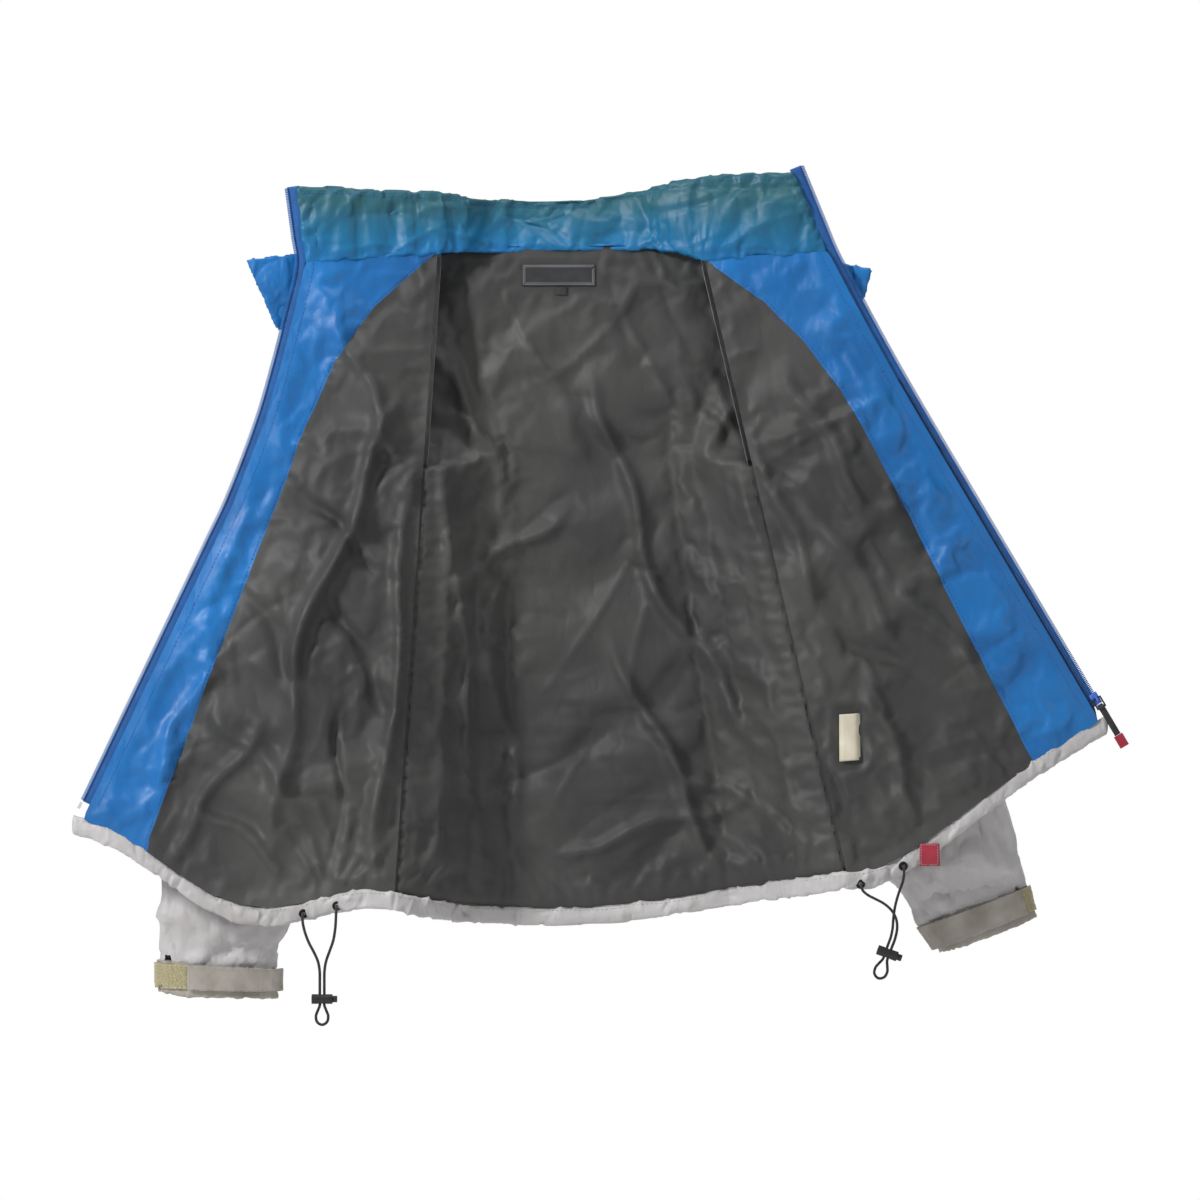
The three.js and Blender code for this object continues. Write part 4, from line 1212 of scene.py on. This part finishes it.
def collar():
    """Padded stand collar: one blown-up cloth, cut at the fold lines."""
    body = remeshed("collar", [f"collar_{part}" for part in PARTS], 0.0048, "collar")
    simulate(body, rim_pins(body), grow=0.04, pressure=2.5, cap=0.007, bend=0.6)
    finer(body, smooth=0.3)
    points = coordinates(body)
    out = normals(body)
    rise = creases(points, 41, 60, 14, 26, (0.04, 0.16), (0.003, 0.007), (0.001, 0.003))
    rise += creases(points, 42, 40, 78, 22, (0.02, 0.07), (0.003, 0.005), (0.0006, 0.0018))
    seam = points[:, 2].max() - 0.016 - points[:, 2]
    rise -= 0.0016 * np.exp(-((seam / 0.0022) ** 2))
    face = np.abs(out[:, 1]) > 0.5
    points += out * (rise * face)[:, None]
    for side, sign in SIDES.items():
        points[:, 0] += sign * 0.005 * sewn_to_zip(points, side, 0.03)
    set_coordinates(body, points)
    fold_parts(body, "collar", "collar")


def hem():
    """Gathered hem band, cut at the fold lines."""
    body = remeshed("hem", [f"hem_{part}" for part in PARTS], 0.0038, "shell")
    simulate(body, np.zeros(len(body.data.vertices)), grow=0.05, pressure=3, cap=0.0035, bend=0.2)
    finer(body, smooth=0.3)
    points = coordinates(body)
    rise = creases(points, 51, 520, 80, 18, (0.012, 0.026), (0.0016, 0.0034), (0.0014, 0.0036))
    rise += creases(points, 52, 120, 8, 18, (0.02, 0.07), (0.002, 0.004), (0.0006, 0.0018))
    points += normals(body) * rise[:, None]
    set_coordinates(body, points)
    fold_parts(body, "hem", "shell")


def padded_body(name, node, body, slot, material, voxel, seed, slant, count, rounds=4, **cloth):
    """A padded piece made from a CAD node, blown up, wrinkled and riding on one body."""
    piece = remeshed(name, [node], voxel, material, rounds)
    pins = rim_pins(piece)
    simulate(piece, pins, **cloth)
    points = coordinates(piece)
    rise = creases(points, seed, count, slant, 32, (0.03, 0.11), (0.004, 0.007), (0.0008, 0.0022))
    points += normals(piece) * (rise * (1 - pins))[:, None]
    set_coordinates(piece, points)
    declared(piece, rides(body), [node])


def cuff_seam(side):
    """The middle of a cuff's upper end, and the way down its sleeve."""
    upper = sum(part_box(f"sleeve_upper_{side}"), Vector()) / 2
    corners = [vert.co for vert in NODES[f"cuff_{side}"].data.vertices]
    points = sorted(corners, key=lambda place: (place - upper).length)
    half = len(points) // 2
    top, end = (sum(part, Vector()) / half for part in (points[:half], points[-half:]))
    return top, (end - top).normalized()


def cuff(side, top, down, seed):
    """Ribbed cuff with its seam pinched under the sleeve's end."""
    piece = remeshed(f"cloth_cuff_{side}", [f"cuff_{side}"], 0.0022, "taupe", rounds=3)
    points = coordinates(piece)
    below = (points - np.array(top)) @ np.array(down)
    rise = creases(points, seed, 160, 80, 14, (0.012, 0.03), (0.0015, 0.003)) * 0.5
    rise -= 0.0009 * np.exp(-(((below - 0.028) / 0.0014) ** 2))
    rise -= 0.0048 * (1 - smoothstep(below, 0.005, 0.012))
    points += normals(piece) * rise[:, None]
    longer = 0.007 * smoothstep(below, below.max() - 0.016, below.max())
    points += np.array(down) * (longer - 0.003 * (1 - smoothstep(below, 0, 0.004)))[:, None]
    set_coordinates(piece, points)
    return piece


def sleeve(side, seed):
    """Padded sleeve and its cuff, made as one tube and cut at the cuff's seam."""
    top, down = cuff_seam(side)
    nodes = [f"sleeve_upper_{side}", f"sleeve_lower_{side}", f"cuff_{side}"]
    tube = remeshed(f"sleeve_{side}", nodes, 0.0047, "shell", rounds=3)
    points = coordinates(tube)
    below = (points - np.array(top)) @ np.array(down)
    armhole = smoothstep(points[:, 2], points[:, 2].max() - 0.06, points[:, 2].max() - 0.01)
    pins = np.maximum(armhole, smoothstep(below, -0.012, 0.004) * 0.9)
    simulate(tube, pins, grow=0.055, pressure=1.5, cap=0.013, bend=0.2, frames=15)
    points = coordinates(tube)
    on_cuff = smoothstep(below, -0.004, 0.004)
    lean = 35 * SIDES[side]
    rise = creases(points, seed, 120, -lean, 26, (0.05, 0.15), (0.004, 0.009), (0.002, 0.0056))
    rise += creases(points, seed + 1, 70, 90 - lean, 24, (0.03, 0.08), (0.003, 0.006))
    rise += wander(points, 0.09, seed + 5) * 0.003
    level = creases(points, seed + 7, 90, lean / 3, 14, (0.05, 0.15), (0.004, 0.008), (0.002, 0.005))
    rise += level * smoothstep(below, -0.3, -0.12)
    rise *= (1 - armhole) * (1 - on_cuff)
    rise -= 0.0012 * np.exp(-(((below - 0.004) / 0.003) ** 2))
    points += normals(tube) * rise[:, None]
    set_coordinates(tube, points)
    names = [f"nylon_sleeve_{side}", f"sleeve_end_{side}"]
    upper, end = cut_at(tube, names, [(top + down * 0.007, down)], ["shell", "taupe"])
    bpy.data.objects.remove(end)
    for piece, replaced, slot in (
        (upper, nodes[:2], "shell_grey"), (cuff(side, top, down, seed + 2), nodes[2:], "cuff_taupe"),
    ):
        declared(piece, rides(f"sleeve_{side}"), replaced)


def sleeves_and_hood():
    for side, seed in (("left", 61), ("right", 71)):
        sleeve(side, seed)
        padded_body(
            f"nylon_shoulder_{side}", f"shoulder_{side}", "root", "shell_blue", "blue", 0.004,
            seed + 3, grow=0.05, pressure=2, cap=0.005, slant=10, count=20,
        )
        padded_body(
            f"nylon_flap_{side}", f"hood_flap_{side}", f"front_{side}", "shell_blue", "blue",
            0.0024, seed + 4, grow=0.04, pressure=1, cap=0.004, slant=10, count=14,
        )
    padded_body(
        "nylon_hood", "hood_shell", "hood", "shell_blue", "blue", 0.0028, 81,
        grow=0.03, pressure=0, cap=0.009, slant=60, count=60, rounds=24,
    )
    padded_body(
        "hood_taffeta", "hood_lining", "hood", "lining_grey", "lining", 0.0028, 91,
        grow=0.03, pressure=0, cap=0.006, slant=60, count=40, rounds=24,
    )


back_lining()
front_inner("left", LEFT_FOLDS, 58, 101, [
    ((0.7, 1.0), (50, 130), 5, 0.2, 0.004), ((0.97, 0.3), (170, 250), 4, 0.26, 0.0025),
])
front_inner("right", RIGHT_FOLDS, -52, 111, [
    ((0.12, 0.96), (20, 120), 5, 0.2, 0.004), ((0.03, 0.26), (285, 345), 4, 0.26, 0.0025),
], ("care_label", "hem_tab"))
back_shell()
front_shell("left", 121)
front_shell("right", 131)
collar()
hem()
sleeves_and_hood()

# ---------------------------------------------------------------- stitches, straps and labels


def tube_rings(places, radii, sides=6):
    """Rings of a thin tube round a short line of points, for a mesh made by hand."""
    rings = []
    for index, (place, radius) in enumerate(zip(places, radii)):
        ahead = places[min(index + 1, len(places) - 1)] - places[max(index - 1, 0)]
        along = ahead.normalized()
        first = along.orthogonal().normalized()
        second = along.cross(first)
        rings.append([
            place + (first * math.cos(turn) + second * math.sin(turn)) * radius
            for turn in (2 * math.pi * k / sides for k in range(sides))
        ])
    return rings


def add_loft(mesh, rings):
    """Adds a closed body through rings of points to a bmesh."""
    verts = [[mesh.verts.new(place) for place in ring] for ring in rings]
    count = len(rings[0])
    for upper, lower in zip(verts, verts[1:]):
        for k in range(count):
            j = (k + 1) % count
            mesh.faces.new((upper[k], upper[j], lower[j], lower[k]))
    mesh.faces.new(verts[0][::-1])
    mesh.faces.new(verts[-1])


def even_line(points, step):
    """A line's points at an even step along it."""
    line = [Vector(point) for point in points]
    spots = [0.0]
    for a, b in zip(line, line[1:]):
        spots.append(spots[-1] + (b - a).length)
    count = max(2, int(spots[-1] / step))
    marks = np.linspace(0, spots[-1], count)
    return [
        Vector([np.interp(mark, spots, [point[axis] for point in line]) for axis in range(3)])
        for mark in marks
    ]


def surface_of(piece):
    mesh = bmesh_of(piece)
    tree = BVHTree.FromBMesh(mesh)
    mesh.free()
    return tree


def laid_on(line, tree, toward=-1):
    """Moves each point of a line along Y onto a surface; points that miss it are left out."""
    found = []
    for place in line:
        start = Vector((place.x, toward * 1.0, place.z))
        hit = tree.ray_cast(start, Vector((0, -toward, 0)))[0]
        if hit is not None:
            found.append(hit)
    return found


def stitches(name, line, piece, thread, hold, toward=-1, length=0.0034, radius=0.00035):
    """A row of running stitches along a line, lying on a piece."""
    pitch = length * 1.45
    line = laid_on(even_line(line, pitch / 4), surface_of(piece), toward)
    mesh = bmesh.new()
    for index in range(0, len(line) - 4, 4):
        spots = line[index:index + 4]
        if (spots[-1] - spots[0]).length > 1.6 * length:
            continue
        lifted = [
            spot + Vector((0, toward * lift * radius, 0))
            for spot, lift in zip(spots, (-0.9, 0.8, 0.8, -0.9))
        ]
        add_loft(mesh, tube_rings(lifted, (radius * 0.7, radius, radius, radius * 0.7)))
    declared(new_piece(name, mesh, thread), hold, ())


def beside(line, inset, heading):
    """A line moved sideways in the XZ plane by an inset, to the side a heading points to."""
    moved = []
    for index, place in enumerate(line):
        along = line[min(index + 1, len(line) - 1)] - line[max(index - 1, 0)]
        side = Vector((along.z, 0, -along.x)).normalized()
        moved.append(place + side * math.copysign(inset, side.dot(heading)))
    return moved


def shared_border(piece, other):
    """The stretch of a piece's open border along which another piece joins it."""
    borders = []
    for sheet in (piece, other):
        mesh = bmesh_of(sheet)
        borders.append(outline(mesh))
        mesh.free()
    near = away_from_line(flat_array(borders[0]), flat_array(borders[1])) < 0.0005
    turn = next(i for i in range(len(near)) if near[i] and not near[i - 1])
    points = borders[0][turn:] + borders[0][:turn]
    return [place for place, joins in zip(points, np.roll(near, -turn)) if joins]


def below_top(piece, inset, step=0.006):
    """A line along the upper edge of a piece, an inset below it."""
    points = coordinates(piece)
    marks = np.arange(points[:, 0].min() + step, points[:, 0].max() - step, step)
    heights = np.array([points[np.abs(points[:, 0] - x) < step, 2].max() for x in marks])
    even = np.convolve(np.pad(heights, 2, "edge"), np.ones(5) / 5, "valid")
    line = [Vector((x, 0, z)) for x, z in zip(marks, even)]
    return beside(line, inset, Vector((0, 0, -1)))


def seam_stitches():
    """Rows of stitches along the seams of the body."""
    objects = bpy.data.objects
    for side, sign in SIDES.items():
        facing = objects[f"nylon_facing_{side}"]
        hold = rides(f"front_{side}")
        inner = shared_border(facing, objects[f"taffeta_{side}"])
        sewn = tape_lines(side)[0]
        for name, line, inset, way in (("inner", inner, 0.003, sign), ("zip", sewn, 0.0045, -sign)):
            stitches(
                f"facing_{name}_stitches_{side}", beside(line, inset, Vector((way, 0, 0))), facing,
                "thread_blue", hold, radius=0.0004,
            )
    yoke = objects["nylon_yoke"]
    seam = beside(shared_border(yoke, objects["nylon_back"]), 0.003, Vector((0, 0, 1)))
    stitches("yoke_stitches", seam, yoke, "thread_blue", follows("back"), toward=1)
    for part in PARTS:
        for name, inset, thread, slot in (
            ("collar", 0.007, "thread_blue", "collar_teal"), ("hem", 0.0045, "thread", "shell_grey"),
        ):
            piece = objects[f"nylon_{name}_{part}"]
            stitches(
                f"{name}_stitches_{part}", below_top(piece, inset), piece, thread, follows(part)
            )


def strip(name, front, material, thickness, puckers=0.0):
    """Closed flat strip from rows of points across it; its back lies a thickness behind."""
    mesh = bmesh.new()
    rings = []
    for index, row in enumerate(front):
        ripple = puckers * math.sin(index * 1.9) * math.sin(index * 0.37)
        near = [place + Vector((0, ripple, 0)) for place in row]
        far = [place + Vector((0, thickness, 0)) for place in reversed(near)]
        rings.append(near + far)
    add_loft(mesh, rings)
    bmesh.ops.recalc_face_normals(mesh, faces=mesh.faces)
    return new_piece(name, mesh, material)


def rows_down(node, gap=0.01):
    """The points of a CAD strip, row by row from the top down."""
    mesh = joined([node])
    points = sorted((vert.co.copy() for vert in mesh.verts), key=lambda place: -place.z)
    mesh.free()
    rows = [[points[0]]]
    for place in points[1:]:
        if rows[-1][-1].z - place.z > gap:
            rows.append([])
        rows[-1].append(place)
    return rows


def middle(points):
    return sum(points, Vector()) / len(points)


def tape_lines(side):
    """Front lines of a zip tape: along its sewn edge and along its teeth."""
    sewn, free = [], []
    for row in rows_down(f"zip_tape_{side}"):
        row.sort(key=lambda place: place.x * SIDES[side])
        sewn.append(middle(row[:2]))
        free.append(middle(row[2:]))
    return smooth_route(sewn), smooth_route(free)


TAPE_ROWS = 300
TAPE_SHARES = (0, 0.35, 0.75, 0.95, 1.12)  # places across the tape, from its sewn edge on
UNDER_TEETH = 0.9  # from this share on the tape lies behind the teeth
TAPE_RISE = 0.0005  # how far the rest of it stands in front of that
TOOTH_PITCH = 0.0019
TOOTH_REACH = 0.0021  # half of a tooth's width
TOOTH_RISE = 0.00145  # half of its depth
TOOTH_OUTLINE = (
    (-1, -0.7), (-0.6, -1), (0.7, -1), (1, -0.4), (1, 0.4), (0.7, 1), (-0.6, 1), (-1, 0.7),
)


def zip_side(side):
    """Woven tape and moulded teeth of one half of the zip."""
    hold = rides(f"front_{side}")
    sewn, free = tape_lines(side)
    ends = [even_line(line, line_length(line) / TAPE_ROWS) for line in (sewn, free)]
    raised = Vector((0, -TAPE_RISE, 0))
    rows = [
        [a.lerp(b, share) + raised * (share < UNDER_TEETH) for share in TAPE_SHARES]
        for a, b in zip(*ends)
    ]
    tape = strip(f"woven_tape_{side}", rows, "tape", 0.001, 0.0002)
    declared(tape, hold, [f"zip_tape_{side}"])

    path = smooth_route([middle(row) for row in rows_down(f"zip_teeth_{side}")])
    spots = even_line(path, TOOTH_PITCH)
    mesh = bmesh.new()
    for before, spot, after in zip(spots, spots[1:], spots[2:]):
        along = (after - before).normalized()
        across = along.cross(Vector((0, 1, 0))).normalized()
        if across.x * SIDES[side] < 0:
            across = -across
        deep = along.cross(across)
        rings = []
        for share, tall, wide in ((-0.34, 0.8, 0.9), (-0.2, 1, 1), (0.2, 1, 1), (0.34, 0.8, 0.9)):
            centre = spot + along * share * TOOTH_PITCH
            rings.append([
                centre + across * (u * TOOTH_REACH * wide) + deep * (v * TOOTH_RISE * tall)
                for u, v in TOOTH_OUTLINE
            ])
        add_loft(mesh, rings)
    teeth = new_piece(f"coil_{side}", mesh, "coil")
    declared(teeth, hold, [f"zip_teeth_{side}"])


def strap_from(node, name, material, hold):
    """A sewn strap or label with soft edges, in the place of its CAD node."""
    piece = remeshed(name, [node], 0.0011, material)
    points = coordinates(piece)
    points += normals(piece) * (0.0003 * wander(points, 0.012, 7))[:, None]
    set_coordinates(piece, points)
    declared(piece, hold, [node])
    return piece


def border_line(node, inset):
    """A closed line round a CAD node's near face, a little inside its edge."""
    near = skin(node)
    points = outline(near)
    near.free()
    centre = middle(points)
    low = Vector(map(min, zip(*points)))
    high = Vector(map(max, zip(*points)))
    size = high - low
    shrunk = []
    for place in points:
        away = place - centre
        shrunk.append(Vector((
            centre.x + away.x * (1 - 2 * inset / size.x), place.y,
            centre.z + away.z * (1 - 2 * inset / size.z),
        )))
    return [*shrunk, shrunk[0]]


def sleeve_fittings(side):
    """Loop patch and pull tab of a cuff, each with its border stitches."""
    for node, material, slot, body, thread in (
        (f"loop_patch_{side}", "loop", "loop_khaki", f"sleeve_{side}", "ivory"),
        (f"cuff_tab_{side}", "taupe", "cuff_taupe", f"tab_{side}", "thread"),
    ):
        hold = rides(body)
        piece = strap_from(node, f"sewn_{node}", material, hold)
        stitches(f"stitches_{node}", border_line(node, 0.0025), piece, thread, hold)


def folded_label(node, name, material, body):
    """Satin label folded in two, hanging a little open."""
    low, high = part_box(node)
    hold = rides(body)
    width = high.x - low.x
    tall = high.z - low.z
    loops = []
    for index in range(25):
        share = index / 24
        down = tall * share
        open_by = 0.0022 + 0.003 * share**2
        lean = 0.0012 * math.sin(5 * share)
        loops.append([
            Vector((low.x + width * u, high.y - open_by - 0.0012 * math.sin(math.pi * u) + lean,
                    high.z - down + 0.0015 * u))
            for u in (0, 0.25, 0.5, 0.75, 1)
        ])
    piece = strip(name, loops, material, 0.0006)
    declared(piece, hold, [node])
    under = [[place + Vector((0.0015, 0.0016, -0.001)) for place in row] for row in loops[:-2]]
    lower = strip(f"{name}_under", under, material, 0.0005)
    declared(lower, hold, ())


def labels():
    hold = rides("root")
    label = strap_from("neck_label", "woven_label", "label", hold)
    for number, inset in enumerate((0.0016, 0.0032)):
        stitches(
            f"label_border_{number + 1}", border_line("neck_label", inset), label, "thread", hold,
            length=0.0022, radius=0.0003,
        )
    strap_from("size_tab", "woven_size_tab", "black_cloth", hold)
    folded_label("care_label", "satin_label", "ivory", "front_right")
    hold_right = rides("front_right")
    tab = strap_from("hem_tab", "woven_hem_tab", "red", hold_right)
    stitches(
        "hem_tab_stitches", border_line("hem_tab", 0.002), tab, "thread", hold_right,
        length=0.002, radius=0.00028,
    )


for side in SIDES:
    zip_side(side)
    sleeve_fittings(side)
seam_stitches()
labels()

# ---------------------------------------------------------------- what the CAD nodes keep

FINISHES = {
    "zip_slider": "slider", "zip_pull": "plastic", "puller_tape": "black_cloth",
    "puller_tip": "rubber", "zip_box": "slider", "zip_pin": "clear",
    **{f"eyelet_{side}_{number}": "eyelet" for side in SIDES for number in (1, 2)},
    **{f"cord_lock_{side}": "plastic" for side in SIDES},
    **{f"lock_button_{side}": "plastic" for side in SIDES},
}
for node, finish in FINISHES.items():
    NODES[node].data.materials.clear()
    NODES[node].data.materials.append(MATERIALS[finish])
    bevel = NODES[node].modifiers.new("soft_edges", "BEVEL")
    bevel.width = 0.0003
    bevel.segments = 2
    bevel.limit_method = "ANGLE"
    bevel.angle_limit = math.radians(35)
